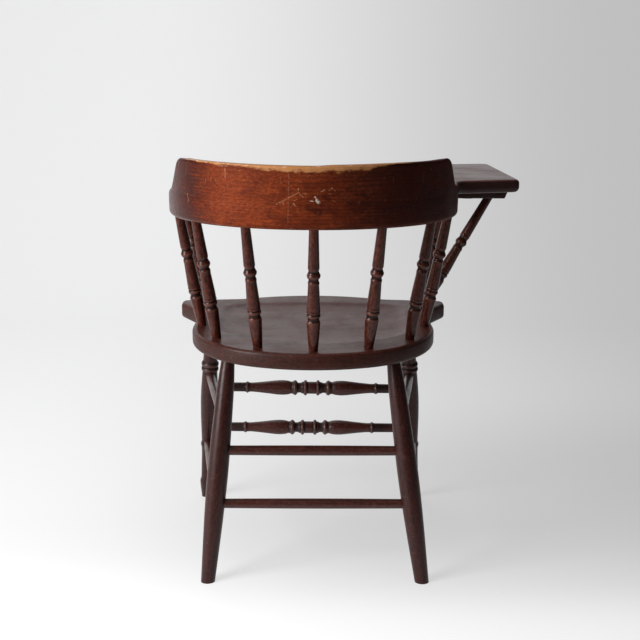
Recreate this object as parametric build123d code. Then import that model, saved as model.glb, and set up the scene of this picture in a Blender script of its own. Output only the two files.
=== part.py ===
from build123d import *
import os
from math import acos, cos, pi, radians, sin, tan

# Writing-arm Windsor chair, in millimetres, +Z up. The sitter faces -Y, so the sitter's left is +X
# and the writing tablet is on the sitter's right, at -X. The model is drawn about the chair's centre
# plane, with the rear feet on Y = 0 and the floor at Z = 0, and is moved at the end so that the
# origin lies on the floor under the middle of the whole chair's bounding box.

os.makedirs("parts", exist_ok=True)

# ---------------------------------------------------------------- driving dimensions: seat
seat_rim_height = 421.7  # top of the plank at its rear rim
seat_rim_y = 28.0  # the rear rim overhangs the rear feet
seat_rise_deg = 2.95  # the plank rises towards the front
seat_thickness, seat_arris = 30.0, 4.0
seat_front_y = -410.0  # middle of the bowed front edge
seat_half_width = 222.0
seat_back_radius, seat_side_radius = 290.0, 186.0  # the round back is flatter than its corners
front_bow_half_width, front_bow_y = 140.0, -379.0  # where the bowed front meets the straight ears
notch_half_width, notch_y = 218.0, -268.0  # where the side sweeps out into an ear
ear_half_width = 262.0
ear_back_y, ear_front_y = -338.0, -366.0
dish_depth, dish_slope_width = 6.5, 24.0
dish_half_width, dish_back_y, dish_front_y = 184.0, -38.0, -345.0
dish_back_radius, dish_side_radius = 260.0, 110.0

# ---------------------------------------------------------------- driving dimensions: arms and crest
bow_under_height, bow_height = 638.0, 44.0
bow_half_width, bow_back_y = 245.0, 65.0  # to the spindle line
bow_outer, bow_inner = 14.0, 16.0  # from the spindle line to the outer and inner faces
crest_top_height, crest_dip = 752.0, 7.0  # the top edge dips a little in the middle
crest_lean = 21.0  # how far the crest's top stands behind the bow's underside
crest_draw_in = 3.5  # how much nearer the centre plane the crest's top is at the sides
crest_foot_thickness, crest_top_thickness = 27.0, 19.0
crest_end_y, crest_step = -121.0, 5.0  # where the crest's ends meet the arms, and their height there
arm_end_y, hand_width, hand_start_y = -322.0, 44.0, -205.0
arm_arris, under_arris, crest_arris = 3.5, 4.5, 4.0  # widths of the eased arrises
crest_dowels = ((60.0, 69.0), (160.0, 10.0), (226.0, -82.0))  # half-spacing and Y, three on each side
dowel_radius, dowel_length = 4.75, 38.0
lap_half_length = 30.0  # the arms are half lapped behind the sitter's back

# ---------------------------------------------------------------- driving dimensions: tablet
tablet_top_height, tablet_thickness = 697.0, 24.5
tablet_outer_x, tablet_rear_y, tablet_front_y = -384.0, -230.0, -650.0
tablet_tail_y = -125.0  # the right arm is cut down from here to carry the tablet
tablet_arris = 4.5
batten_rear_y, batten_front_y = -326.0, -371.0
batten_inner_x, batten_outer_x = -222.0, -372.0
batten_thickness, batten_bevel, batten_arris = 21.0, 9.0, 2.5

# ---------------------------------------------------------------- driving dimensions: legs and joints
# Legs: half-spacing, Y and offset to the left, on the floor and at leg_top. The chair is framed by
# hand, and its pairs of legs stand a few millimetres off the seat's centre plane.
rear_foot, rear_top = (190.8, 0.0, -4.9), (145.2, -62.0, 4.4)
front_foot, front_top = (221.7, -446.0, 4.8), (196.8, -346.0, 6.4)
leg_top = 400.0
rear_foot_radius, front_foot_radius = 12.5, 10.0
leg_neck_radius, leg_neck, leg_tenon_depth = 11.5, 4.0, 22.0
spindle_radius = 7.9  # where it enters the seat and the bow
seat_socket_depth, ear_socket_depth, bow_socket_depth, batten_socket_depth = 20.0, 15.0, 24.0, 14.0
turned_end_radius, plain_end_radius, plain_middle_radius = 7.9, 8.6, 9.1  # of the stretchers
straight_end = 25.0  # each end is straight where it enters the leg
past_axis, short_of_axis = 3.0, -10.0  # how far a stretcher's tenon runs past the leg's axis
glue_gap, bottom_gap = 0.05, 0.5  # round a tenon, and below its end
screw_head_radius, screw_radius, screw_tip_radius = 4.6, 2.2, 0.6
screw_head_edge, screw_cone, screw_point = 0.6, 3.0, 4.0
screw_slot_width, screw_slot_depth, screw_sunk = 1.0, 1.1, 1.0
arm_screw_length, batten_screw_length = 48.0, 32.0

# Spindles: half-spacing and Y at the seat, then at the bow. The centre one has no twin.
center_spindle = ((0.0, 5.0), (0.0, 64.5))
paired_spindles = {
    "back_spindle_inner": ((95.6, -17.0), (112.6, 39.5)),
    "back_spindle_outer": ((171.0, -77.0), (200.2, -34.0)),
    "side_spindle": ((205.0, -168.0), (239.0, -128.0)),
    "front_spindle": ((205.0, -302.0), (242.0, -259.0)),
}
brace_foot, brace_top = (-221.0, -345.0), (-343.0, -348.5)

# Stretchers: heights of their axes at the legs.
front_stretcher_heights = {"upper": (258.0, 254.0), "lower": (166.0, 164.0)}  # left leg, right leg
rear_stretcher_heights = {"upper": (231.8, 231.8), "lower": (138.0, 138.0)}
side_stretcher_heights = {"upper": (285.0, 291.0), "lower": (130.0, 149.0)}  # front leg, rear leg


# ---------------------------------------------------------------- helpers
def seat_top(y):
    """Height of the plank's top face at a given Y."""
    return seat_rim_height + (seat_rim_y - y) * tan(radians(seat_rise_deg))


def lathe(start_radius, cuts):
    """A turned solid standing on Z = 0. Each cut is (length, end radius), a straight cut, or
    (length, end radius, swell), an arc whose middle stands out from that straight line by swell."""
    z, radius = 0.0, start_radius
    edges = [Line((0, 0), (radius, 0))]
    for length, end, *swell in cuts:
        if swell:
            middle = ((radius + end) / 2 + swell[0], z + length / 2)
            edges.append(ThreePointArc((radius, z), middle, (end, z + length)))
        else:
            edges.append(Line((radius, z), (end, z + length)))
        z, radius = z + length, end
    edges += [Line((radius, z), (0, z)), Line((0, z), (0, 0))]
    return revolve(Plane.XZ * make_face(edges), Axis.Z, 360)


def aim(start, end):
    """A plane at start whose Z axis points at end."""
    return Plane(origin=start, z_dir=Vector(*end) - Vector(*start))


def beyond(start, end, length):
    """The point on the line from start to end that lies length past end."""
    step = (Vector(*end) - Vector(*start)).normalized() * length
    return tuple(Vector(*end) + step)


def cylinder_up(radius, length):
    """A cylinder that stands on Z = 0."""
    return Cylinder(radius, length, align=(Align.CENTER, Align.CENTER, Align.MIN))


def bore(start, end, radius, depth):
    """The hole for a tenon that runs from start to end and depth further."""
    lead = 12.0
    cutter = cylinder_up(radius + glue_gap, lead + depth + bottom_gap)
    return aim(beyond(start, end, -lead), beyond(start, end, 1.0)) * cutter


def distance(start, end):
    return (Vector(*end) - Vector(*start)).length


def flat_round(half_width, back_y, back_radius, side_radius):
    """A flattened half round from the middle of the back to the side: a wide arc and a tighter one."""
    side_x, back_center = half_width - side_radius, back_y - back_radius
    between = back_radius - side_radius
    turn = acos(side_x / between)
    side_y = back_center + between * sin(turn)

    def on_back(angle):
        return (back_radius * cos(angle), back_center + back_radius * sin(angle))

    side_middle = (side_x + side_radius * cos(turn / 2), side_y + side_radius * sin(turn / 2))
    return [
        ThreePointArc((0, back_y), on_back((turn + pi / 2) / 2), on_back(turn)),
        ThreePointArc(on_back(turn), side_middle, (half_width, side_y)),
    ]


def half_round(half_width, back_y):
    """A quarter circle from the middle of the back to the side, which runs straight on from there."""
    side_y = back_y - half_width
    middle = (half_width * cos(pi / 4), side_y + half_width * sin(pi / 4))
    return ThreePointArc((0, back_y), middle, (half_width, side_y))


def name_for(side):
    return "left" if side > 0 else "right"


def on_line(foot, top, height, side):
    """The point of a leg's axis at a given height."""
    share = height / leg_top
    half_spacing, y, offset = (a + share * (b - a) for a, b in zip(foot, top))
    return (side * half_spacing + offset, y, height)


# ---------------------------------------------------------------- turned pieces
# The turned pattern, from the seat up: a long swelling, a cove, a ring with a bead above it, a long
# taper to a neck, a second ring and a collar. The straight shaft above it takes up the rest.
spindle_pattern = [
    (52.0, 11.2),
    (10.0, 9.4, 0.9),
    (8.0, 11.8),
    (3.2, 10.7),
    (9.5, 11.3, 0.3),
    (43.0, 9.6),
    (8.0, 8.5, 0.6),
    (7.6, 11.2),
    (8.3, 8.7),
    (4.7, 9.7),
]
pattern_length = sum(cut[0] for cut in spindle_pattern)


def spindle(foot, top, foot_depth, top_depth, neck=2.5):
    """A turned spindle with a tenon at each end. The tenons stay round and straight for a neck's
    length outside their sockets, because the spindle leans and enters at an angle."""
    swelling, swelling_radius = spindle_pattern[0]
    shaft = distance(foot, top) - pattern_length - neck
    cuts = [
        (foot_depth + neck, spindle_radius),
        (swelling - neck, swelling_radius),
        *spindle_pattern[1:],
        (shaft, spindle_radius),
        (neck + top_depth, spindle_radius),
    ]
    return aim(beyond(top, foot, foot_depth), top) * lathe(spindle_radius, cuts)


def leg(foot, top, side, cuts, foot_radius):
    """A raked leg, turned from below the floor up to the end of its tenon and cut level at the foot."""
    low, high = on_line(foot, top, 0.0, side), on_line(foot, top, leg_top, side)
    stub = 8.0
    solid = aim(beyond(high, low, stub), high) * lathe(foot_radius, [(stub, foot_radius), *cuts])
    floor = Pos(0, 0, -50) * Box(1200, 1600, 100)
    return solid - floor


def seat_under_on(foot, top):
    """Height at which a leg's axis meets the plank's underside."""
    y = foot[1] + (top[1] - foot[1]) * 0.98
    return seat_top(y) - seat_thickness / cos(radians(seat_rise_deg))


def leg_length(foot, top, side):
    """Length of a leg's axis from the floor to the plank's underside."""
    height = seat_under_on(foot, top)
    return distance(on_line(foot, top, 0.0, side), on_line(foot, top, height, side))


def front_leg(side):
    """From the floor: a tapered foot, a slim shaft, a collar, a long swelling and two rings."""
    length = leg_length(front_foot, front_top, side)
    cuts = [
        (38.8, 14.2),
        (9.7, 12.4),
        (58.7, 12.4),
        (23.6, 14.5),
        (11.2, 13.3),
        (52.0, 16.2),
        (52.4, 17.75),
        (52.6, 15.5),
        (9.3, 17.0),
        (5.7, 15.0),
        (5.7, 17.0),
        (6.5, 13.6),
    ]
    used = sum(cut[0] for cut in cuts)
    cuts += [(length - used - leg_neck, leg_neck_radius), (leg_neck + leg_tenon_depth, leg_neck_radius)]
    return leg(front_foot, front_top, side, cuts, front_foot_radius)


def rear_leg(side):
    """A plain leg with a long swelling, narrowing to a soft neck under the seat."""
    length = leg_length(rear_foot, rear_top, side)
    cuts = [(108.4, 17.0), (74.6, 18.7), (50.0, 18.3), (65.0, 16.8), (52.0, 15.2)]
    used = sum(cut[0] for cut in cuts)
    cuts += [(length - used - leg_neck, leg_neck_radius), (leg_neck + leg_tenon_depth, leg_neck_radius)]
    return leg(rear_foot, rear_top, side, cuts, rear_foot_radius)


def cross_ends(foot, top, heights, extra):
    """The two ends of a stretcher that runs across between a pair of legs, tenons included."""
    left, right = (on_line(foot, top, height, side) for height, side in zip(heights, (1, -1)))
    return beyond(left, right, extra), beyond(right, left, extra)


def front_stretcher(start, end):
    """Turned alike on both sides of its middle: a drum, two rings, a bulb and a collar."""
    half = [
        (10.5, 11.1),
        (1.8, 14.0),
        (2.2, 11.0),
        (3.0, 10.6),
        (2.0, 8.7),
        (6.5, 8.7),
        (4.0, 13.6),
        (2.5, 14.0),
        (4.0, 11.2),
        (23.5, 13.2, 0.9),
        (52.0, 8.0, 0.5),
        (8.5, 8.2),
        (4.0, 10.4),
        (4.0, 8.2),
    ]
    rest = distance(start, end) / 2 - sum(cut[0] for cut in half) - straight_end
    out = [*half[1:], (rest, turned_end_radius), (straight_end, turned_end_radius)]
    radii = [half[0][1]] + [cut[1] for cut in out]
    back = [(cut[0], radii[i], *cut[2:]) for i, cut in reversed(list(enumerate(out)))]
    drum_length, drum_radius = half[0]
    return aim(start, end) * lathe(turned_end_radius, [*back, (2 * drum_length, drum_radius), *out])


def plain_stretcher(start, end):
    """A plain stretcher with a slight belly."""
    half = distance(start, end) / 2 - straight_end
    belly, taper = (half, plain_middle_radius, 0.2), (half, plain_end_radius, 0.2)
    cuts = [(straight_end, plain_end_radius), belly, taper, (straight_end, plain_end_radius)]
    return aim(start, end) * lathe(plain_end_radius, cuts)


# ---------------------------------------------------------------- seat
seat_plane = Plane(
    origin=(0, 0, seat_top(0)),
    x_dir=(1, 0, 0),
    z_dir=(0, sin(radians(seat_rise_deg)), cos(radians(seat_rise_deg))),
)


def seat_blank():
    """The plank: round behind, notched at the sides, with an ear at each front corner."""
    side_line = (notch_half_width, notch_y)
    bow_end = (front_bow_half_width, front_bow_y)
    rear = flat_round(seat_half_width, seat_rim_y, seat_back_radius, seat_side_radius)
    half = [
        *rear,
        Line(rear[-1] @ 1, side_line),
        Line(side_line, (ear_half_width, ear_back_y)),
        Line((ear_half_width, ear_back_y), (ear_half_width, ear_front_y)),
        Line((ear_half_width, ear_front_y), bow_end),
    ]
    other = [mirror(edge, Plane.YZ) for edge in half]
    front = ThreePointArc(bow_end, (0, seat_front_y), (-front_bow_half_width, front_bow_y))
    solid = extrude(seat_plane * make_face([*half, front, *other]), -seat_thickness)
    for (x, y), radius in (
        (side_line, 26.0),
        (bow_end, 70.0),
        ((ear_half_width, ear_back_y), 9.0),
        ((ear_half_width, ear_front_y), 9.0),
    ):
        solid = fillet([*upright_at(solid, x, y), *upright_at(solid, -x, y)], radius)
    return solid


def upright_at(solid, x, y):
    """The upright edge of solid nearest to a place in plan."""
    upright = [e for e in solid.edges() if abs(e.tangent_at(0.5).Z) > 0.9]
    return [min(upright, key=lambda e: abs(e.center().X - x) + abs(e.center().Y - y))]


def dish_outline(inset):
    """The dish in plan, inset from its lip: a flat round back, straight sides and a bowed front."""
    half_width, front = dish_half_width - inset, dish_front_y + inset
    rear = flat_round(half_width, dish_back_y - inset, dish_back_radius - inset, dish_side_radius - inset)
    corner, front_side = (half_width - 6.0, front + 45.0), (110.0 - inset / 2, front + 2.0)
    half = [
        *rear,
        Line(rear[-1] @ 1, corner),
        ThreePointArc(corner, (half_width - 22.0, front + 14.0), front_side),
    ]
    middle = ThreePointArc(front_side, (0, front - 12.0), (-front_side[0], front_side[1]))
    return make_face([*half, middle, *(mirror(edge, Plane.YZ) for edge in half)])


def facing(solid, direction):
    """The largest face of solid whose normal points in a direction."""
    faces = [f for f in solid.faces() if f.normal_at().dot(Vector(*direction)) > 0.999]
    return max(faces, key=lambda f: f.area)


def seat(bores):
    """The plank with eased edges, its dish and its sockets."""
    up = seat_plane.z_dir
    solid = seat_blank()
    solid = chamfer(facing(solid, up).edges(), seat_arris)
    solid = chamfer(facing(solid, up * -1).edges(), seat_arris)
    lip = seat_plane * dish_outline(0)
    hollow = loft([lip, seat_plane.offset(-dish_depth) * dish_outline(dish_slope_width)], ruled=True)
    return solid - hollow - bores


# ---------------------------------------------------------------- arms and crest
def bow_outline(half_width, back_y, thickness):
    """A band in plan: round behind, with straight sides that run past the hands."""
    front = arm_end_y - 40
    outer = half_round(half_width, back_y)
    inner = half_round(half_width - thickness, back_y - thickness)
    half = [
        outer,
        Line(outer @ 1, (half_width, front)),
        Line((half_width, front), (half_width - thickness, front)),
        Line((half_width - thickness, front), inner @ 1),
        inner,
    ]
    return make_face([*half, *(mirror(edge, Plane.YZ) for edge in half)])


def band(low_height, high_height, low_thickness, high_thickness):
    """A band between two heights. Behind, its outer face leans back in one surface over both parts."""
    bow_top = bow_under_height + bow_height
    faces = []
    for height, thickness in ((low_height, low_thickness), (high_height, high_thickness)):
        lean = crest_lean * (height - bow_under_height) / (crest_top_height - bow_under_height)
        draw_in = crest_draw_in * max(0, height - bow_top) / (crest_top_height - bow_top)
        outline = bow_outline(bow_half_width + bow_outer - draw_in, bow_back_y + bow_outer + lean, thickness)
        faces.append(Plane.XY.offset(height) * outline)
    return loft(faces, ruled=True)


def hand():
    """The widened front of the left arm, with a round end."""
    outer = bow_half_width + bow_outer
    inner = outer - hand_width
    narrow = bow_half_width - bow_inner
    start, widened_y, round_y = hand_start_y, -285.0, arm_end_y + 20.0
    edges = [
        Line((outer, start), (outer, round_y)),
        ThreePointArc((outer, round_y), ((outer + inner) / 2, arm_end_y), (inner, round_y)),
        Line((inner, round_y), (inner, widened_y)),
        Spline([(inner, widened_y), (narrow, start)], tangents=[(0, 1), (0, 1)]),
        Line((narrow, start), (outer, start)),
    ]
    return extrude(Pos(0, 0, bow_under_height) * make_face(edges), bow_height)


def block(x0, x1, y0, y1, z0, z1):
    """A box between two corners."""
    return Pos((x0 + x1) / 2, (y0 + y1) / 2, (z0 + z1) / 2) * Box(x1 - x0, y1 - y0, z1 - z0)


def eased(solid, height, width, cut_y):
    """The solid with its level edges at a height chamfered, except those of its cuts on X = 0 and Y = cut_y."""
    level = [e for e in solid.edges() if abs((e @ 0.5).Z - height) < 0.01 and abs(e.tangent_at(0.5).Z) < 0.01]
    return chamfer([e for e in level if abs((e @ 0.5).X) > 0.01 and abs((e @ 0.5).Y - cut_y) > 0.01], width)


def left_half_of_bow():
    """The bow from the middle of the back round to the left hand, sharp only where the crest stands."""
    bow_top = bow_under_height + bow_height
    thickness = bow_outer + bow_inner
    bow = band(bow_under_height, bow_top, thickness, thickness)
    front = (bow & block(0, 400, hand_start_y, crest_end_y, 0, 1000)) + hand()
    front = eased(eased(front, bow_top, arm_arris, crest_end_y), bow_under_height, under_arris, crest_end_y)
    under_crest = bow & block(0, 400, crest_end_y, 400, 0, 1000)
    return front + eased(under_crest, bow_under_height, under_arris, crest_end_y)


def lapped(half, side):
    """Half of the bow with its share of the half lap: the left arm's tongue lies on the right arm's."""
    middle = bow_under_height + bow_height / 2
    low, high = (middle, 1000) if side > 0 else (0, middle)
    over = mirror(half, Plane.YZ) & block(-lap_half_length, 0, 0, 400, low, high)
    cut = half - block(0, lap_half_length, 0, 400, *((0, middle) if side > 0 else (middle, 1000)))
    return cut + over


def arm_left(bores):
    return lapped(left_half_of_bow(), 1) - bores


def arm_right(bores):
    """The mirror of the left arm, with its front cut down to carry the tablet."""
    tablet_under = tablet_top_height - tablet_thickness
    solid = mirror(lapped(left_half_of_bow(), -1), Plane.YZ)
    return solid - block(-400, 0, -500, tablet_tail_y, tablet_under, 1000) - bores


def crest_rail(bores):
    """A leaning rail on the bow; its ends sweep down to the arms in an ogee."""
    foot = bow_under_height + bow_height
    rail = band(foot, crest_top_height, crest_foot_thickness, crest_top_thickness)
    sweep = Spline(
        [(-28.0, crest_top_height), (-70.0, 731.0), (-92.0, 706.0), (crest_end_y, foot + crest_step)],
        tangents=[(-1, 0), (-1, -0.25)],
    )
    outside = [
        Line((crest_end_y, foot + crest_step), (crest_end_y, foot - 1)),
        Line((crest_end_y, foot - 1), (-500, foot - 1)),
        Line((-500, foot - 1), (-500, 800)),
        Line((-500, 800), (-28.0, 800)),
        Line((-28.0, 800), (-28.0, crest_top_height)),
    ]
    ends = extrude(Plane.YZ * make_face([sweep, *outside]), 400, both=True)
    dip_radius = 200.0**2 / (2 * crest_dip)
    dip = Pos(0, 0, crest_top_height - crest_dip + dip_radius) * Rot(90, 0, 0) * Cylinder(dip_radius, 1000)
    rail = rail - ends - dip
    top = [e for e in rail.edges() if (e @ 0.5).Z > crest_top_height - crest_dip - 0.5 and e.length > 100]
    return chamfer(top, crest_arris) - bores


# ---------------------------------------------------------------- tablet, batten and brace
def writing_tablet(bores):
    """The writing surface: it tapers to a tail on the arm and overhangs the front of the seat."""
    corners = [  # (X, Y, radius of the rounding)
        (-231.0, tablet_tail_y, 0),
        (-257.0, tablet_tail_y, 0),
        (-259.0, tablet_rear_y + 26.0, 20.0),
        (tablet_outer_x, tablet_rear_y, 16.0),
        (tablet_outer_x - 2.0, tablet_front_y, 18.0),
        (-118.0, tablet_front_y + 74.0, 46.0),
        (-213.0, -318.0, 110.0),
    ]
    outline = make_face(Polyline(*[(x, y) for x, y, _ in corners], close=True))
    for x, y, radius in corners:
        if radius:
            outline = fillet(outline.vertices().sort_by_distance((x, y, 0))[0], radius)
    board = extrude(Pos(0, 0, tablet_top_height - tablet_thickness) * outline, tablet_thickness)
    return eased(board, tablet_top_height, tablet_arris, tablet_tail_y) - bores


def tablet_batten(bores):
    """The cleat across the tablet in front of the arm, bevelled at its outer end."""
    under = tablet_top_height - tablet_thickness
    low = under - batten_thickness
    profile = Polyline(
        (batten_inner_x, under),
        (batten_outer_x - batten_bevel, under),
        (batten_outer_x, low),
        (batten_inner_x + batten_bevel, low),
        (batten_inner_x, low + batten_bevel),
        close=True,
    )
    middle = (batten_rear_y + batten_front_y) / 2
    half = (batten_rear_y - batten_front_y) / 2
    across = Plane(origin=(0, middle, 0), x_dir=(1, 0, 0), z_dir=(0, -1, 0))
    solid = extrude(across * make_face(profile), half, both=True)
    long_edges = [e for e in solid.edges() if abs((e @ 0.5).Z - low) < 0.1 and abs(e.tangent_at(0.5).X) > 0.9]
    return chamfer(long_edges, batten_arris) - bores


def screw(length, place):
    """A countersunk slotted wood screw driven upwards; place is the middle of its head's face."""
    shank = length - screw_head_edge - screw_cone - screw_point
    cuts = [
        (screw_head_edge, screw_head_radius),
        (screw_cone, screw_radius),
        (shank, screw_radius),
        (screw_point, screw_tip_radius),
    ]
    slot = Box(2 * screw_head_radius + 1, screw_slot_width, 2 * screw_slot_depth)
    return Pos(*place) * (lathe(screw_head_radius, cuts) - slot)


def screw_hole(length, place):
    """The countersunk pilot hole for a screw."""
    lead = 5.0
    shank = length - screw_head_edge - screw_cone - screw_point + bottom_gap
    head, narrow, tip = (r + glue_gap for r in (screw_head_radius, screw_radius, screw_tip_radius))
    cuts = [(lead + screw_head_edge, head), (screw_cone, narrow), (shank, narrow), (screw_point, tip)]
    return Pos(place[0], place[1], place[2] - lead) * lathe(head, cuts)


# ---------------------------------------------------------------- where the pieces meet
bow_under = bow_under_height
tablet_under = tablet_top_height - tablet_thickness
arm_screw_height = bow_under + screw_sunk
arm_screw_places = [(-bow_half_width + 1.0, y, arm_screw_height) for y in (-160.0, -225.0, -290.0)]
batten_screw_height = tablet_under - batten_thickness + screw_sunk
batten_screw_places = [(x, y, batten_screw_height) for x in (-245.0, -300.0) for y in (-338.0, -359.0)]

spindles = {}
center_foot, center_top = center_spindle
spindles["back_spindle_center"] = ((*center_foot, seat_top(center_foot[1])), (*center_top, bow_under))
for kind, (foot, top) in paired_spindles.items():
    for side in (1, -1):
        low = (side * foot[0], foot[1], seat_top(foot[1]))
        spindles[f"{kind}_{name_for(side)}"] = (low, (side * top[0], top[1], bow_under))

brace_low = (*brace_foot, seat_top(brace_foot[1]))
brace_high = (*brace_top, tablet_under - batten_thickness)

plain_stretchers, front_stretchers = {}, {}
for level, (front_height, rear_height) in side_stretcher_heights.items():
    for side in (1, -1):
        front_point = on_line(front_foot, front_top, front_height, side)
        rear_point = on_line(rear_foot, rear_top, rear_height, side)
        rear_stop = short_of_axis if level == "lower" else past_axis
        ends = (beyond(rear_point, front_point, past_axis), beyond(front_point, rear_point, rear_stop))
        plain_stretchers[f"side_stretcher_{name_for(side)}_{level}"] = ends
for level, heights in rear_stretcher_heights.items():
    stop = short_of_axis if level == "lower" else past_axis
    plain_stretchers[f"rear_stretcher_{level}"] = cross_ends(rear_foot, rear_top, heights, stop)
for level, heights in front_stretcher_heights.items():
    front_stretchers[f"front_stretcher_{level}"] = cross_ends(front_foot, front_top, heights, past_axis)

seat_bores = [bore(top, foot, spindle_radius, seat_socket_depth) for foot, top in spindles.values()]
seat_bores.append(bore(brace_high, brace_low, spindle_radius, ear_socket_depth))
for foot, top in ((front_foot, front_top), (rear_foot, rear_top)):
    height = seat_under_on(foot, top)
    for side in (1, -1):
        low, high = on_line(foot, top, 0.0, side), on_line(foot, top, height, side)
        seat_bores.append(bore(low, high, leg_neck_radius, leg_tenon_depth))
bow_bores = {name: bore(foot, top, spindle_radius, bow_socket_depth) for name, (foot, top) in spindles.items()}
left_bores = [cutter for name, cutter in bow_bores.items() if "right" not in name]
right_bores = [cutter for name, cutter in bow_bores.items() if "left" not in name]
batten_bore = bore(brace_low, brace_high, spindle_radius, batten_socket_depth)
arm_screw_holes = [screw_hole(arm_screw_length, place) for place in arm_screw_places]
batten_screw_holes = [screw_hole(batten_screw_length, place) for place in batten_screw_places]
dowel_places = [(side * x, y) for x, y in crest_dowels for side in (1, -1)]
dowel_low = bow_under_height + bow_height - dowel_length / 2
dowels = [Pos(x, y, dowel_low) * cylinder_up(dowel_radius, dowel_length) for x, y in dowel_places]
dowel_bores = [
    Pos(x, y, dowel_low - bottom_gap) * cylinder_up(dowel_radius + glue_gap, dowel_length + 2 * bottom_gap)
    for x, y in dowel_places
]


def stretcher_bore(start, end, radius):
    """A cutter as long as the stretcher, which bores both of its legs."""
    cutter = cylinder_up(radius + glue_gap, distance(start, end) + 2 * bottom_gap)
    return aim(start, end) * Pos(0, 0, -bottom_gap) * cutter


stretcher_bores = [stretcher_bore(*ends, plain_end_radius) for ends in plain_stretchers.values()]
stretcher_bores += [stretcher_bore(*ends, turned_end_radius) for ends in front_stretchers.values()]

# ---------------------------------------------------------------- the chair
pieces = {
    "seat": seat(seat_bores),
    "arm_left": arm_left([*left_bores, *dowel_bores]),
    "arm_right": arm_right([*right_bores, *dowel_bores, *arm_screw_holes]),
    "crest_rail": crest_rail(dowel_bores),
    "crest_dowels": Compound(dowels),
    "writing_tablet": writing_tablet([*arm_screw_holes, *batten_screw_holes]),
    "tablet_batten": tablet_batten([batten_bore, *batten_screw_holes]),
    "arm_screws": Compound([screw(arm_screw_length, place) for place in arm_screw_places]),
    "batten_screws": Compound([screw(batten_screw_length, place) for place in batten_screw_places]),
    "tablet_brace": spindle(brace_low, brace_high, ear_socket_depth, batten_socket_depth, 6.0),
}
for name, (foot, top) in spindles.items():
    pieces[name] = spindle(foot, top, seat_socket_depth, bow_socket_depth)
for side in (1, -1):
    pieces[f"front_leg_{name_for(side)}"] = front_leg(side) - stretcher_bores
    pieces[f"rear_leg_{name_for(side)}"] = rear_leg(side) - stretcher_bores
for name, ends in plain_stretchers.items():
    pieces[name] = plain_stretcher(*ends)
for name, ends in front_stretchers.items():
    pieces[name] = front_stretcher(*ends)

whole = Compound(list(pieces.values())).bounding_box()
shift = Pos(-whole.center().X, -whole.center().Y, -whole.min.Z)
for name, piece in pieces.items():
    export_step(shift * piece, f"parts/{name}.step")
print(f"{len(pieces)} nodes, overall {whole.size.X:.1f} x {whole.size.Y:.1f} x {whole.size.Z:.1f} mm")
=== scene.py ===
# %% [markdown]
# # A writing-arm Windsor chair
# This notebook gives a CAD chair its looks: smooth turned and shaped pieces, stained and worn wood,
# and a plain studio. Sizes are written in millimetres, as in the chair's workshop drawing, and
# turned into metres where a mesh is made.

# %% Imports and the frame
import math

import bmesh
import bpy
from mathutils import Matrix, Vector


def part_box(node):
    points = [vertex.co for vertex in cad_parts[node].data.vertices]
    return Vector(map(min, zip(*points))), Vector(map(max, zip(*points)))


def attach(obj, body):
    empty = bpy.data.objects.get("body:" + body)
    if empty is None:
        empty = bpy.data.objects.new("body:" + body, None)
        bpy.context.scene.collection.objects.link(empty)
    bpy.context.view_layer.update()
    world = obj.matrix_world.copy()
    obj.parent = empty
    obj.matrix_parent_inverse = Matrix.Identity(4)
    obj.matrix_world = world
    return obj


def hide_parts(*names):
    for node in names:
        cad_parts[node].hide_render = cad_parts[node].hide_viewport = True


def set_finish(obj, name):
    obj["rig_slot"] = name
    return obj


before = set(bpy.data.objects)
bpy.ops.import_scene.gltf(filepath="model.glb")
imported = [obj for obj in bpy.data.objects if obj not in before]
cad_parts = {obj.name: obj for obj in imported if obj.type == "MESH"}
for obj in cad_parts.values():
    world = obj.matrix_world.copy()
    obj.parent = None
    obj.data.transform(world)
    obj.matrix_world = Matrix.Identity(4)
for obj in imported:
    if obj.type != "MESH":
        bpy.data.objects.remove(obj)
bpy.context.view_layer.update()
MM = 0.001

# %% [markdown]
# ## The chair's own axes
# The frame's origin lies under the middle of the whole chair with its tablet. A chair is easier to
# think of from its centre plane, so `chair` turns workshop millimetres, with X = 0 on the centre
# plane and Y = 0 at the rear feet, into the frame's metres. The two offsets are read off the seat
# and the rear legs, so nothing is typed in twice.

# %% From workshop millimetres to the frame
seat_low, seat_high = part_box("seat")
CENTER_X = (seat_low[0] + seat_high[0]) / 2
ON_FLOOR = 0.0001  # metres; a leg's points below this are on its flat end


def foot_center(node):
    """The middle of the flat end on which a leg stands, in metres."""
    ground = [v.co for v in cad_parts[node].data.vertices if v.co.z < ON_FLOOR]
    return sum(ground, Vector()) / len(ground)


REAR_Y = foot_center("rear_leg_left").y


def chair(x, y, z):
    """A point given in workshop millimetres, in the frame's metres."""
    return Vector((CENTER_X + x * MM, REAR_Y + y * MM, z * MM))


def workshop(point):
    """A point of the frame, in workshop millimetres."""
    return Vector(((point[0] - CENTER_X) / MM, (point[1] - REAR_Y) / MM, point[2] / MM))


print("centre plane at", round(CENTER_X, 5), "rear feet at", round(REAR_Y, 5))

# %% [markdown]
# ## Axes of turned pieces
# A turned piece is known by its axis. Both ends of the CAD piece are flat discs, so the middle of
# each disc is found from the mesh: the face furthest out gives the disc's plane, and the rim's
# points in that plane have their middle on the axis.

# %% The two ends of a turned piece's axis
FACING, IN_PLANE = 0.8, 0.00003  # share of a normal, and metres


def end_of_axis(node, rough):
    """The middle of the flat end that faces a rough direction, in workshop millimetres."""
    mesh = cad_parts[node].data
    rough = Vector(rough)
    flat = [p for p in mesh.polygons if p.normal.dot(rough) > FACING]
    far = max(flat, key=lambda p: p.center.dot(rough))
    level = mesh.vertices[far.vertices[0]].co.dot(far.normal)
    rim = {tuple(v.co) for v in mesh.vertices if abs(v.co.dot(far.normal) - level) < IN_PLANE}
    return workshop(sum((Vector(p) for p in rim), Vector()) / len(rim))


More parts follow.
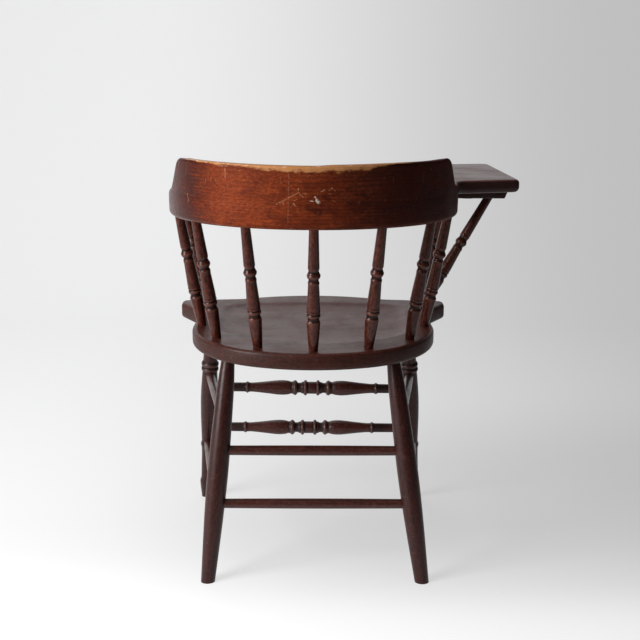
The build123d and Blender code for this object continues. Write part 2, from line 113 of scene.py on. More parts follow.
def axis_of(node, rough=(0, 0, 1)):
    """Both ends of a turned piece's axis, the one against the rough direction first."""
    return end_of_axis(node, [-v for v in rough]), end_of_axis(node, rough)


for name in ("back_spindle_center", "rear_leg_left"):
    start, end = axis_of(name)
    print(name, [round(v, 1) for v in start], [round(v, 1) for v in end])

# %% [markdown]
# ## Soft profiles
# A lathe tool leaves a profile of straight cuts and corners, and sandpaper and years of hands round
# the corners. A profile is a list of (distance, radius, reach): reach is how far from the corner the
# rounding starts. Each corner becomes a short curve between two points on its cuts.

# %% Rounding a profile
CORNER_STEPS = 4


def softened(profile):
    """The profile's points with every inner corner rounded over its reach."""
    points = [Vector((z, r)) for z, r, _ in profile]
    reaches = [reach for _, _, reach in profile[1:]]
    curve = [points[0]]
    for before, corner, after, reach in zip(points, points[1:], points[2:], reaches):
        into, out = before - corner, after - corner
        start = corner + into * min(reach / into.length, 0.49)
        finish = corner + out * min(reach / out.length, 0.49)
        for i in range(CORNER_STEPS + 1):
            t = i / CORNER_STEPS
            curve.append(start.lerp(corner, t).lerp(corner.lerp(finish, t), t))
    return curve + [points[-1]]


# %% [markdown]
# ## Turning on the lathe
# The profile is drawn once as a chain of edges and spun round the axis. The spin merges its last
# copy with its first, so the surface closes. Two attributes are stored for the materials: `grain`,
# the place in the wood with Z along the fibres, and `relief`, above 0 on ridges that hands and
# cloth rub, below 0 in hollows where finish and dirt build up and shade is painted darker. A leg's
# end is cut level at the floor.

# %% Meshes, attributes and turned pieces
pieces = {}
SPIN_STEPS = 56
SAME_POINT = 0.00001  # metres
SHARP = math.radians(38)  # faces that meet at more than this keep a crisp edge


def blank():
    """A new bmesh and its two attributes, grain and relief."""
    bm = bmesh.new()
    return bm, bm.verts.layers.float_vector.new("grain"), bm.verts.layers.float.new("relief")


def only(kind, made):
    """The elements of one kind among all that an operator made."""
    return [e for e in made if isinstance(e, kind)]


def everything(bm):
    return bm.verts[:] + bm.edges[:] + bm.faces[:]


def fill_holes(bm, rims=None):
    """Closes the given rims, or every open one, and returns the new faces."""
    rims = [e for e in bm.edges if e.is_boundary] if rims is None else rims
    return bmesh.ops.holes_fill(bm, edges=rims, sides=0)["faces"]


def linked(name, data):
    """A new object in the scene."""
    made = bpy.data.objects.new(name, data)
    bpy.context.scene.collection.objects.link(made)
    return made


def stored(bm, name, replaces, slot):
    """The finished bmesh as an object that rides on the chair and stands for its CAD nodes."""
    mesh = bpy.data.meshes.new(name)
    bmesh.ops.recalc_face_normals(bm, faces=bm.faces)
    if bm.calc_volume(signed=True) < 0:
        bmesh.ops.reverse_faces(bm, faces=bm.faces)
    for face in bm.faces:
        face.smooth = True
    for edge in bm.edges:
        edge.smooth = edge.calc_face_angle(0.0) < SHARP
    bm.to_mesh(mesh)
    bm.free()
    piece = linked(name, mesh)
    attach(piece, "root")
    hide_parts(*replaces)
    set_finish(piece, slot)
    pieces[name] = piece
    return piece


RIDGE_NEAR, RIDGE_FAR, RIDGE_FULL = 1.0, 4.5, 0.9  # millimetres along the axis, and outwards


def ridge(curve, here):
    """How far a profile stands out from its surroundings at one point, from -1 to 1."""
    near = [p.y for p in curve if RIDGE_NEAR < abs(p.x - here.x) < RIDGE_FAR]
    if not near:
        return 0.0
    return max(-1.0, min(1.0, (here.y - sum(near) / len(near)) / RIDGE_FULL))


def cut_from(seed):
    """Where in the wood a piece is cut, in metres, so that no two show the same grain."""
    return Vector((0.013 * (seed % 5) + 0.02, 0.011 * (seed % 7) - 0.03, 0.37 * seed))


def turned(name, node, profile, start, end, slot, seed, level_foot=False):
    """A piece turned to a profile whose distances are measured from start towards end."""
    curve = softened(profile)
    bm, grain, relief = blank()
    chain = []
    for point in curve:
        vert = bm.verts.new((point.y * MM, 0, point.x * MM))
        vert[relief] = ridge(curve, point)
        chain.append(vert)
    for pair in zip(chain, chain[1:]):
        bm.edges.new(pair)
    bmesh.ops.spin(
        bm, geom=bm.verts[:] + bm.edges[:], cent=(0, 0, 0), axis=(0, 0, 1), angle=math.tau,
        steps=SPIN_STEPS, use_merge=True,
    )
    bmesh.ops.remove_doubles(bm, verts=bm.verts, dist=SAME_POINT)
    fill_holes(bm)
    for vert in bm.verts:
        vert[grain] = vert.co + cut_from(seed)
    turn = (end - start).normalized().to_track_quat("Z", "Y").to_matrix().to_4x4()
    bmesh.ops.transform(bm, matrix=Matrix.Translation(chair(*start)) @ turn, verts=bm.verts)
    if level_foot:
        bmesh.ops.bisect_plane(
            bm, geom=everything(bm), plane_co=(0, 0, 0), plane_no=(0, 0, -1), clear_outer=True,
        )
        fill_holes(bm)
    return stored(bm, name, [node], slot)


# %% [markdown]
# ## The spindles
# Nine spindles carry the bow, and a tenth, longer one props up the tablet. All are turned to the
# same pattern from the seat up: a long swelling, a cove, a ring with a bead, a taper, a sharp ring
# and a collar. Only the plain shaft at the top differs in length, so one profile function with the
# length as its argument makes them all.

# %% The turned pattern
SEAT_SOCKET, BOW_SOCKET = 20.0, 24.0
EAR_SOCKET, BATTEN_SOCKET = 15.0, 14.0
HIDDEN = 7.0  # how far a visible piece runs on into its socket
BRACE_SEED, REAR_SEED, FRONT_SEED, STRETCHER_SEED = 11, 20, 30, 40  # the spindles count from 0


def spindle_profile(length):
    """Distances above the seat, radii and roundings of a spindle with this much showing."""
    return [
        (-HIDDEN, 7.9, 0), (0.0, 8.0, 2.0), (30.0, 10.3, 12.0), (50.0, 11.5, 6.0),
        (56.4, 11.8, 1.6), (60.0, 9.9, 1.0), (63.4, 9.7, 1.0), (66.2, 11.9, 0.9), (69.6, 12.3, 1.1),
        (71.9, 10.7, 0.6), (74.6, 12.0, 0.9), (77.6, 11.3, 0.9), (84.0, 11.4, 3.0),
        (124.0, 9.4, 3.0), (128.6, 10.0, 1.3), (131.6, 8.8, 0.8), (134.4, 8.3, 1.0),
        (138.2, 10.9, 0.7), (141.6, 11.8, 1.1), (145.4, 10.2, 0.8), (149.4, 8.5, 1.2),
        (154.4, 9.9, 1.4), (length, 8.1, 3.0), (length + HIDDEN, 8.0, 0),
    ]


def spindle(name, node, rough, foot, head, seed):
    """A spindle turned between sockets of two depths; returns how much of it shows."""
    low, high = axis_of(node, rough)
    showing = (high - low).length - foot - head
    start = low + (high - low).normalized() * foot
    turned(name, node, spindle_profile(showing), start, high, "spindle_wood", seed)
    return showing


SPINDLES = [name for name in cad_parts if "spindle" in name]
for seed, node in enumerate(sorted(SPINDLES)):
    spindle(f"turned_{node}", node, (0, 0, 1), SEAT_SOCKET, BOW_SOCKET, seed)
BRACE_WAY = (-0.5, 0, 0.86)
showing = spindle("turned_brace", "tablet_brace", BRACE_WAY, EAR_SOCKET, BATTEN_SOCKET, BRACE_SEED)
print(len(SPINDLES), "spindles and a brace of", round(showing, 1), "mm")

# %% [markdown]
# ## The legs
# The rear legs are plain: they swell in the middle and narrow to a soft neck under the seat. The
# front legs have a small foot, a ball, a collar where the lower stretchers enter, a long swelling
# and two rings under the seat. All four are raked, so a round foot is cut off level with the floor.

# %% Leg profiles
LEG_TENON = 22.0


def leg(node, profile_of, seed):
    """A leg turned along its CAD axis and cut level at the floor."""
    low, high = axis_of(node)
    showing = (high - low).length - LEG_TENON
    turned(f"turned_{node}", node, profile_of(showing), low, high, "leg_wood", seed, level_foot=True)
    return showing


def neck(length):
    """The narrow top of every leg, and the start of its tenon."""
    return [(length - 8.0, 11.9, 5.0), (length + HIDDEN, 11.4, 0)]


def rear_leg_profile(length):
    return [
        (-12.0, 12.4, 0), (2.0, 12.6, 3.0), (60.0, 15.0, 20.0), (110.0, 17.0, 24.0),
        (183.0, 18.8, 34.0), (236.0, 18.2, 24.0), (300.0, 16.6, 24.0), (352.0, 15.2, 20.0),
        *neck(length),
    ]


def front_leg_profile(length):
    return [
        (-12.0, 9.6, 0), (2.0, 10.0, 3.0), (33.0, 13.9, 7.0), (40.5, 14.2, 3.0), (47.0, 12.2, 2.5),
        (53.0, 12.0, 5.0), (107.0, 12.3, 8.0), (122.0, 12.9, 3.0), (130.8, 14.9, 1.8),
        (139.0, 12.9, 2.2), (146.0, 13.4, 5.0), (195.0, 16.2, 18.0), (246.0, 17.8, 26.0),
        (298.0, 15.5, 10.0), (303.5, 14.8, 1.6), (307.0, 17.4, 1.6), (311.0, 17.5, 1.6),
        (314.6, 14.9, 1.0), (318.0, 17.5, 1.6), (322.0, 17.4, 1.6), (326.0, 14.6, 1.6),
        (332.0, 14.0, 5.0),
        *neck(length),
    ]


for seed, side in enumerate(("left", "right")):
    rear = leg(f"rear_leg_{side}", rear_leg_profile, REAR_SEED + seed)
    front = leg(f"front_leg_{side}", front_leg_profile, FRONT_SEED + seed)
print("rear legs", round(rear, 1), "mm, front legs", round(front, 1), "mm along their axes")

# %% [markdown]
# ## The stretchers
# Eight stretchers tie the legs. The side and rear ones are plain sticks with a slight belly. The two
# in front are turned the same way on both sides of their middle, so half a profile is mirrored.

# %% Stretcher profiles
STICK_RADIUS = 9.1


def plain_profile(length):
    """A stick that swells a little towards its middle."""
    middle = STICK_RADIUS
    return [
        (3.0, middle - 0.7, 0), (26.0, middle - 0.5, 9.0), (length * 0.3, middle - 0.1, 40.0),
        (length * 0.5, middle, 40.0), (length * 0.7, middle - 0.1, 40.0),
        (length - 26.0, middle - 0.5, 9.0), (length - 3.0, middle - 0.7, 0),
    ]


FRONT_HALF = [  # from the middle outwards
    (6.0, 12.4, 3.0), (8.8, 12.1, 0.7), (10.8, 15.3, 1.0), (12.9, 16.2, 1.1), (15.0, 15.2, 1.0),
    (17.0, 12.2, 0.8), (19.8, 12.1, 0.9), (22.2, 10.2, 1.2), (28.2, 10.2, 1.4), (30.8, 14.2, 0.9),
    (34.4, 16.0, 1.6), (38.4, 13.2, 1.0), (41.0, 12.0, 1.2), (48.0, 14.4, 4.0), (64.0, 15.6, 12.0),
    (98.0, 11.6, 16.0), (120.0, 9.5, 6.0), (127.6, 9.5, 1.4), (131.6, 12.2, 1.6), (135.8, 9.4, 1.6),
]
FRONT_SHIFTS = {"front_stretcher_upper": -3.7, "front_stretcher_lower": 2.5}  # off their own middles


def mirrored_profile(length, shift):
    """The front stretchers' profile, laid out both ways from a point shifted off the middle."""
    middle = length / 2 + shift
    out = [(middle + z, r, reach) for z, r, reach in FRONT_HALF]
    back = [(middle - z, r, reach) for z, r, reach in reversed(FRONT_HALF)]
    ends = [(3.0, 8.8, 0), (24.0, 9.2, 6.0)], [(length - 24.0, 9.2, 6.0), (length - 3.0, 8.8, 0)]
    return ends[0] + back + out + ends[1]


STRETCHERS = [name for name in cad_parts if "stretcher" in name]
for seed, node in enumerate(sorted(STRETCHERS)):
    rough = (0, 1, 0) if node.startswith("side") else (1, 0, 0)
    low, high = axis_of(node, rough)
    length = (high - low).length
    shift = FRONT_SHIFTS.get(node)
    profile = plain_profile(length) if shift is None else mirrored_profile(length, shift)
    turned(f"turned_{node}", node, profile, low, high, "stretcher_wood", STRETCHER_SEED + seed)
print(len(STRETCHERS), "stretchers")

# %% [markdown]
# ## Flat boards with soft arrises
# The seat, the tablet and the arms are boards: one outline in plan, with edges that a spokeshave
# and years of use have rounded. `grown` starts from one loop of edges and extrudes it upwards level
# by level. Each level is a height and an inset, and a last small inset keeps the flat faces flat
# when they are shaded.

# %% Outlines and levels
ARRIS_STEPS, FLAT_MARGIN = 5, 2.0


def smooth(t):
    """A step from 0 to 1 without corners."""
    t = max(0.0, min(1.0, t))
    return t * t * (3 - 2 * t)


def arc(center, radius, start, end, steps):
    """Points on an arc in plan; the angles are in degrees, from +X towards +Y."""
    angles = (math.radians(start + (end - start) * i / steps) for i in range(steps + 1))
    return [Vector((center[0] + radius * math.cos(a), center[1] + radius * math.sin(a))) for a in angles]


def evenly(points, gap, closed=False):
    """The same line with a point about every gap millimetres."""
    ring = points + points[:1] if closed else points
    line = []
    for here, there in zip(ring, ring[1:]):
        steps = max(1, round((there - here).length / gap))
        line += [here.lerp(there, i / steps) for i in range(steps)]
    return line if closed else line + [points[-1]]


def inward(points, closed=True):
    """For each point of a line drawn anticlockwise, the unit direction to its left."""
    count = len(points)
    normals = []
    for i, here in enumerate(points):
        before = points[(i - 1) % count] if closed or i else here
        after = points[(i + 1) % count] if closed or i < count - 1 else here
        along = (after - before).normalized()
        normals.append(Vector((-along.y, along.x)))
    return normals


def quarter():
    """The shares (1 - cos, 1 - sin) at even angles over a quarter turn."""
    turns = (math.pi / 2 * i / ARRIS_STEPS for i in range(ARRIS_STEPS + 1))
    return [(1 - math.cos(a), 1 - math.sin(a)) for a in turns]


def round_levels(low, high, under, over):
    """(height, inset) from the underside to the top of a board with rounded arrises."""
    below = [(low + under * c, under * s) for c, s in quarter()]
    above = [(high - over * s, over * c) for c, s in quarter()]
    return [(low, under + FLAT_MARGIN), *below, *above, (high, over + FLAT_MARGIN)]


def grown(bm, loops):
    """One loop of points extruded through all the others; returns the loops as lists of vertices."""
    place = bm.verts.layers.int.new("place")
    first = [bm.verts.new(co) for co in loops[0]]
    for i, vert in enumerate(first):
        vert[place] = i
    edges = [bm.edges.new(pair) for pair in zip(first, first[1:] + first[:1])]
    rings = [first]
    for loop in loops[1:]:
        made = bmesh.ops.extrude_edge_only(bm, edges=edges)["geom"]
        verts = sorted(only(bmesh.types.BMVert, made), key=lambda v: v[place])
        for vert in verts:
            vert.co = loop[vert[place]]
        fresh = set(verts)
        edges = [e for e in only(bmesh.types.BMEdge, made) if fresh.issuperset(e.verts)]
        rings.append(verts)
    return rings


# %% [markdown]
# ## The seat
# The seat is one thick plank, round behind, drawn in at the sides and widening to an ear at each
# front corner. Its top is dished, so the sitter slides to the middle. The plank is built from loops:
# underside, edge, top rim, the lip of the dish, and its slope down to a flat floor.

# %% The plank's outline
SEAT_RISE = math.radians(2.95)
SEAT_THICK, SEAT_RIM_Y, SEAT_RIM_Z, SEAT_FRONT_Y = 30.0, 28.0, 421.7, -410.0
SEAT_HALF, EAR_HALF = 222.0, 260.8
SEAT_BACK_RADIUS, SEAT_SIDE_RADIUS = 290.0, 186.0
FRONT_ARC_END, NOTCH = Vector((140.0, -379.0)), Vector((218.0, -268.0))
EAR_BACK, EAR_FRONT = Vector((EAR_HALF, -338.0)), Vector((EAR_HALF, -366.0))
FRONT_ROUND, EAR_ROUND, NOTCH_ROUND = 70.0, 12.5, 26.0
FRONT_ARC_STOP = -92.2  # degrees; the arc stops a little short, to leave room for a rounding


def rounded_corner(before, corner, after, radius, steps=10):
    """A corner of a line replaced by an arc of a given radius."""
    into, out = (before - corner).normalized(), (after - corner).normalized()
    half = into.angle(out) / 2
    start, finish = corner + into * radius / math.tan(half), corner + out * radius / math.tan(half)
    center = corner + (into + out).normalized() * radius / math.sin(half)
    turn = (start - center).angle_signed(finish - center)
    return [center + Matrix.Rotation(-turn * i / steps, 2) @ (start - center) for i in range(steps + 1)]


def mirrored(half):
    """A half outline from the middle of the front to the middle of the back, made whole."""
    return half + [Vector((-p.x, p.y)) for p in reversed(half[1:-1])]


def flat_round(half_width, back_y, back_radius, side_radius):
    """A flattened half round from the side to the middle of the back: a tight arc, then a wide one."""
    side_x, back_center = half_width - side_radius, back_y - back_radius
    turn = math.acos(side_x / (back_radius - side_radius))
    side_y = back_center + (back_radius - side_radius) * math.sin(turn)
    side = arc((side_x, side_y), side_radius, 0, math.degrees(turn), 24)
    return side + arc((0, back_center), back_radius, math.degrees(turn), 90, 40)[1:]


def seat_outline():
    """The seat in plan, anticlockwise from the middle of its front edge."""
    sagitta = FRONT_ARC_END.y - SEAT_FRONT_Y
    radius = (FRONT_ARC_END.x**2 + sagitta**2) / (2 * sagitta)
    reach = math.asin(FRONT_ARC_END.x / radius)
    before = FRONT_ARC_END - Vector((math.cos(reach), math.sin(reach))) * 60
    half = arc((0, SEAT_FRONT_Y + radius), radius, -90, FRONT_ARC_STOP + math.degrees(reach), 30)
    rear = flat_round(SEAT_HALF, SEAT_RIM_Y, SEAT_BACK_RADIUS, SEAT_SIDE_RADIUS)
    half += rounded_corner(before, FRONT_ARC_END, EAR_FRONT, FRONT_ROUND, 8)
    half += rounded_corner(FRONT_ARC_END, EAR_FRONT, EAR_BACK, EAR_ROUND, 8)
    half += rounded_corner(EAR_FRONT, EAR_BACK, NOTCH, EAR_ROUND, 8)
    half += rounded_corner(EAR_BACK, NOTCH, rear[0], NOTCH_ROUND, 8)
    return evenly(mirrored(half + rear), 5.0, closed=True)


outline = seat_outline()
print(len(outline), "points round the seat")

# %% [markdown]
# The dish has a flat round back, straight sides and a bowed front. Every point of the plank's
# outline needs a partner on the dish's lip, so a ray is cast from the middle of the dish through
# each of them, and the lip is where the ray crosses the dish's shape.

# %% The dish
DISH_HALF, DISH_BACK_Y, DISH_FRONT_Y = 184.0, -38.0, -345.0
DISH_BACK_RADIUS, DISH_SIDE_RADIUS, DISH_CORNER = 260.0, 110.0, 52.0
DISH_DEEP, DISH_SLOPE = 6.5, 72.0
DISH_MIDDLE = Vector((0.0, -190.0))
RAY_LONG = 600  # further than any edge of the seat


def dish_outline(inset):
    """The dish in plan, anticlockwise from the middle of its front, inset from its lip."""
    half_width, front = DISH_HALF - inset, DISH_FRONT_Y + inset
    radii = DISH_BACK_RADIUS - inset, DISH_SIDE_RADIUS - inset
    rear = flat_round(half_width, DISH_BACK_Y - inset, *radii)
    beside = Vector((half_width - 2, front + 6))
    corner_radius = max(8.0, DISH_CORNER - inset * 0.6)
    corner = rounded_corner(Vector((0, front - 8)), beside, rear[0], corner_radius)
    return mirrored([Vector((0, front - 10)), Vector((60, front - 8)), *corner, *rear])


def crossing(shape, target):
    """Where the ray from the dish's middle to a target crosses a closed shape."""
    far = DISH_MIDDLE + (target - DISH_MIDDLE).normalized() * RAY_LONG
    for here, there in zip(shape, shape[1:] + shape[:1]):
        edge, ray = there - here, far - DISH_MIDDLE
        cross = ray.x * edge.y - ray.y * edge.x
        if abs(cross) < 1e-9:
            continue
        gap = here - DISH_MIDDLE
        along_ray = (gap.x * edge.y - gap.y * edge.x) / cross
        along_edge = (gap.x * ray.y - gap.y * ray.x) / cross
        if 0 <= along_edge <= 1 and along_ray > 0:
            return DISH_MIDDLE + ray * along_ray
    return target


def seat_point(plan, height):
    """A point of the plank; height is measured square to its sloping underside plane."""
    rise = (SEAT_RIM_Y - plan.y) * math.tan(SEAT_RISE)
    return chair(plan.x, plan.y, SEAT_RIM_Z + rise + (height - SEAT_THICK) / math.cos(SEAT_RISE))


print("dish lip is", len(dish_outline(0)), "points,", DISH_DEEP, "mm deep")

# %% The seat as one mesh
SEAT_ARRIS, SEAT_UNDER_ARRIS = 6.0, 8.0
DISH_INSETS = (-3.0, 0.0, 2.5, 5.0, 8.0, 11.0, 15.0, 20.0, 26.0, 33.0, 41.0, 50.0, 60.0, 72.0, 76.0)
# Below 0 the seat is darker: on its edge all round, on its top arris as painted shade, and a little at
# the dish's lip.
EDGE_RELIEF, ARRIS_SHADE, LIP_RELIEF = -0.45, -0.25, -0.1
SEAT_CUT, TABLET_CUT, BATTEN_CUT = 0.31, 0.5, 0.1  # where in the wood the boards are cut, in metres


def dish_fall(inset):
    """Depth of the dish at a distance inside its lip: steep at once, then ever flatter."""
    t = min(1.0, max(0.0, inset / DISH_SLOPE))
    return DISH_DEEP * smooth(t * 4) * (1 - (1 - t) ** 2.4)


def seat_relief(height, inset):
    """Relief of the plank's edge: dark all round, and a little less so on its top arris, which is
    darkened as painted shade.
    """
    on_top = height > SEAT_THICK / 2
    if on_top and 1.0 < inset < SEAT_ARRIS * 0.8:
        return ARRIS_SHADE
    return EDGE_RELIEF if inset < 1.0 or not on_top else 0.0


def build_seat():
    bm, grain, relief = blank()
    normals = inward(outline)
    loops, worn = [], []
    for height, inset in round_levels(0, SEAT_THICK, SEAT_UNDER_ARRIS, SEAT_ARRIS):
        loops.append([seat_point(p + n * inset, height) for p, n in zip(outline, normals)])
        worn.append(seat_relief(height, inset))
    for inset in DISH_INSETS:
        shape, height = dish_outline(inset), SEAT_THICK - dish_fall(inset)
        loops.append([seat_point(crossing(shape, p), height) for p in outline])
        worn.append(LIP_RELIEF if -1.0 < inset < 4.0 else 0.0)
    rings = grown(bm, loops)
    for ring, amount in zip(rings, worn):
        for vert in ring:
            vert[relief] = amount
    inner = [e for e in bm.edges if e.is_boundary and e.verts[0] in set(rings[-1])]
    for face in fill_holes(bm, inner) + fill_holes(bm):
        bmesh.ops.poke(bm, faces=[face])
    for vert in bm.verts:
        vert[grain] = (vert.co.y + SEAT_CUT, vert.co.z, vert.co.x)
    return stored(bm, "dished_seat", ["seat"], "seat_wood")


seat = build_seat()
print("seat faces:", len(seat.data.polygons))

# %% [markdown]
# ## Bending the bow
# The arms and the crest follow one bow: half round behind the sitter, with straight sides. A chair
# maker bends or saws such a part from a straight bar, and so does this notebook. Each part is drawn
# straight, as distance along the bow from the middle of the back, distance inwards from the outer
# face, and height. `bent` then carries every point to its place round the sitter. The straight
# coordinates are kept as the grain, so the fibres follow the curve as they do in bent wood. The sides
# spread a little, and above the bow the rail leans back and is drawn in.

# %% From the straight bar to the bow
BOW_LOW, BOW_HIGH, CREST_HIGH = 638.0, 682.0, 752.0
BOW_OUTER, BOW_BACK_Y = 259.0, 79.0
BOW_THICK = 30.0
CREST_LEAN, LEAN_ENDS = 21.0, 60.0
CREST_DRAW_IN, DRAW_IN_SKEW = 4.4, 0.2
QUARTER = BOW_OUTER * math.pi / 2  # along the outer face, from the middle of the back to the side
BOW_SPREAD, SPREAD_FROM = 2.3, 310.0  # the sides stand a little further out than a half round


def bent(along, inside, height):
    """A point of the straight bar, carried to its place on the bow, in workshop millimetres."""
    lean = CREST_LEAN * (height - BOW_LOW) / (CREST_HIGH - BOW_LOW)
    side = 1 if along > 0 else -1
    draw_in = CREST_DRAW_IN * (1 + DRAW_IN_SKEW * side * min(1.0, abs(along) / QUARTER))
    radius = BOW_OUTER - draw_in * max(0.0, height - BOW_HIGH) / (CREST_HIGH - BOW_HIGH)
    angle = min(abs(along), QUARTER) / BOW_OUTER
    straight = max(0.0, abs(along) - QUARTER)
    spread = BOW_SPREAD * smooth((abs(along) - SPREAD_FROM) / (QUARTER - SPREAD_FROM))
    x = side * ((radius - inside) * math.sin(angle) + spread)
    y = BOW_BACK_Y + lean - radius + (radius - inside) * math.cos(angle)
    return Vector((x, y - straight - lean * smooth(straight / LEAN_ENDS), height))


def along_at(y, height=BOW_LOW):
    """Distance along the bow at which its outer face reaches a given Y."""
    low, high = 0.0, QUARTER + 300.0
    for _ in range(40):
        middle = (low + high) / 2
        low, high = (middle, high) if bent(middle, 0, height).y > y else (low, middle)
    return (low + high) / 2


def to_bow(bm, grain, mirror_x=False):
    """Bends a straight mesh, in millimetres, into place and keeps its straight shape as grain."""
    for vert in bm.verts:
        along, inside, height = vert.co
        vert[grain] = (inside * MM, height * MM, (-along if mirror_x else along) * MM)
        point = bent(along, inside, height)
        vert.co = chair(-point.x if mirror_x else point.x, point.y, point.z)


CREST_END_Y = -121.0
crest_end = along_at(CREST_END_Y, BOW_HIGH)
print("quarter of the bow", round(QUARTER, 1), "mm; the crest ends at", round(crest_end, 1))

# %% [markdown]
# ## The arms
# Two arms make the bow and meet in a half lap behind the sitter. The left one widens to a round
# hand. The right one is the same piece with its front cut down to carry the tablet. In plan an arm
# is one outline; the lapped tongue is extruded from the upper or the lower half of its end face.

# %% Outline and levels of an arm
LAP, TONGUE_STEPS = 30.0, 10
HAND_START, HAND_FULL, HAND_ROUND, HAND_END = -205.0, -285.0, -302.0, -322.0
HAND_WIDE, HAND_STEPS = 44.0, 16
TABLET_TAIL_Y, TABLET_UNDER, TABLET_TOP = -125.0, 672.5, 697.0
ARM_ARRIS, UNDER_ARRIS, HIDDEN_ARRIS = 6.0, 8.5, 0.6
STEP_HALF = 0.2  # half the length of the step down to the tablet's seat


def hand_width(y):
    """Width of the arm at a given Y, from the plain bow to the hand."""
    return BOW_THICK + (HAND_WIDE - BOW_THICK) * smooth((HAND_START - y) / (HAND_START - HAND_FULL))


def arm_outline():
    """The straightened arm in plan, from its lapped end along the outer face to the hand and back."""
    front = along_at(HAND_ROUND)
    outer = evenly([Vector((LAP, 0)), Vector((QUARTER, 0)), Vector((front, 0))], 6.0)
    half, reach = HAND_WIDE / 2, HAND_ROUND - HAND_END
    turns = (math.pi * i / HAND_STEPS for i in range(1, HAND_STEPS))
    tip = [Vector((front + reach * math.sin(a), half - half * math.cos(a))) for a in turns]
    inner = [Vector((p.x, hand_width(bent(p.x, 0, BOW_LOW).y))) for p in reversed(outer)]
    return outer + tip + inner


def ladder(bm, ring):
    """Closes a long C-shaped loop with rungs from its outer to its inner side."""
    half = len(ring) // 2
    outer, inner = ring[:half], ring[half + len(ring) % 2:]
    sides = [bm.edges.get(pair) for line in (outer, inner) for pair in zip(line, line[1:])]
    bmesh.ops.bridge_loops(bm, edges=sides)
    fill_holes(bm, [e for e in bm.edges if e.is_boundary and set(e.verts) <= set(ring)])


def build_arm(side):
    """One arm: +1 is the left, with its hand, and -1 the right, cut down for the tablet."""
    plan = arm_outline()
    normals = inward(plan, closed=False)
    tail = along_at(TABLET_TAIL_Y, BOW_HIGH)
    if side < 0:
        near = min(range(len(plan) // 2), key=lambda i: abs(plan[i].x - tail))
        for i in (near, len(plan) - 1 - near):
            plan[i].x = tail - STEP_HALF
        for i in (near + 1, len(plan) - 2 - near):
            plan[i].x = tail + STEP_HALF
    middle = (BOW_LOW + BOW_HIGH) / 2
    loops = []
    shape = [("low", UNDER_ARRIS + FLAT_MARGIN, 0.0)]
    shape += [("low", UNDER_ARRIS * s, UNDER_ARRIS * c) for c, s in quarter()]
    shape.append(("middle", 0.0, 0.0))
    shape += [("high", c, s) for c, s in quarter()]
    shape.append(("high", 1.0, 0.0))
    for index, (where, inset, fall) in enumerate(shape):
        loop = []
        for p, n in zip(plan, normals):
            open_top = smooth((p.x - crest_end + 1.0) / 2.0)
            arris = HIDDEN_ARRIS + (ARM_ARRIS - HIDDEN_ARRIS) * open_top
            top = BOW_HIGH
            if side < 0 and p.x > tail:
                top, arris = TABLET_UNDER, HIDDEN_ARRIS
            if where == "low":
                height, shift = BOW_LOW + fall, inset
            elif where == "middle":
                height, shift = middle, 0.0
            else:
                margin = FLAT_MARGIN if index == len(shape) - 1 else 0.0
                height, shift = top - fall * arris, inset * arris + margin
            q = p + n * shift
            loop.append(Vector((q.x, q.y, height)))
        loops.append(loop)
    bm, grain, relief = blank()
    rings = grown(bm, loops)
    for ring, (where, inset, _) in zip(rings, shape):
        on_arris = where != "middle" and 0.15 < (inset / (UNDER_ARRIS if where == "low" else 1)) < 0.8
        for vert in ring:
            shows = where == "low" or vert.co.x > crest_end
            vert[relief] = (0.5 if where == "low" else 1.0) if on_arris and shows else 0.0
    for ring in (rings[0], rings[-1]):
        ladder(bm, ring)
    end_faces = [f for f in bm.faces if all(abs(v.co.x - LAP) < 0.01 for v in f.verts)]
    half = [f for f in end_faces if (f.calc_center_median().z - middle) * side > 0]
    print("lapped end:", len(end_faces), "faces,", len(half), "carried on into the tongue")
    for _ in range(TONGUE_STEPS):
        made = bmesh.ops.extrude_face_region(bm, geom=half)["geom"]
        bmesh.ops.delete(bm, geom=half, context="FACES")
        half = only(bmesh.types.BMFace, made)
        for vert in {v for f in half for v in f.verts}:
            vert.co.x -= 2 * LAP / TONGUE_STEPS
    to_bow(bm, grain, mirror_x=side < 0)
    name = "left" if side > 0 else "right"
    return stored(bm, f"bent_arm_{name}", [f"arm_{name}"], "bow_wood")


arms = [build_arm(side) for side in (1, -1)]
print("arms:", [len(arm.data.polygons) for arm in arms], "faces")

# %% [markdown]
# ## The crest
# A second, leaning rail stands on the bow behind the sitter. Its top is the edge that hands grip
# when the chair is moved, and it shows: the finish there is worn to golden wood. The ends sweep
# down to the arms in an ogee. The crest's section changes all along, so a ring of points is
# extruded from section to section.

# %% The crest's top line
CREST_TOP, CREST_DIP, CREST_CORNER_X = 746.2, 3.2, 219.0
CREST_TILT, FLICK_FROM, FLICK_OVER = 1.4, 214.0, 14.0  # one half is a little higher
CREST_FOOT, CREST_LIP = 27.0, 19.0
OGEE = [
    (-44.0, CREST_TOP), (-59.0, 739.6), (-70.0, 726.0), (-86.0, 706.0), (-104.0, 690.5), (-121.0, 686.5),
]
OGEE_SLOPES = (0.12, 0.85, 1.42, 1.05, 0.50, 0.15)


def ogee(y):
    """Height of the crest's top at a given Y, where it sweeps down."""
    if y >= OGEE[0][0]:
        return CREST_TOP
    for (y0, z0), (y1, z1), m0, m1 in zip(OGEE, OGEE[1:], OGEE_SLOPES, OGEE_SLOPES[1:]):
        if y1 <= y <= y0:
            t, run = (y0 - y) / (y0 - y1), y0 - y1
            h00, h10 = (1 + 2 * t) * (1 - t) ** 2, t * (1 - t) ** 2
            h01, h11 = t * t * (3 - 2 * t), t * t * (t - 1)
            return h00 * z0 - h10 * run * m0 + h01 * z1 - h11 * run * m1
    return OGEE[-1][1]


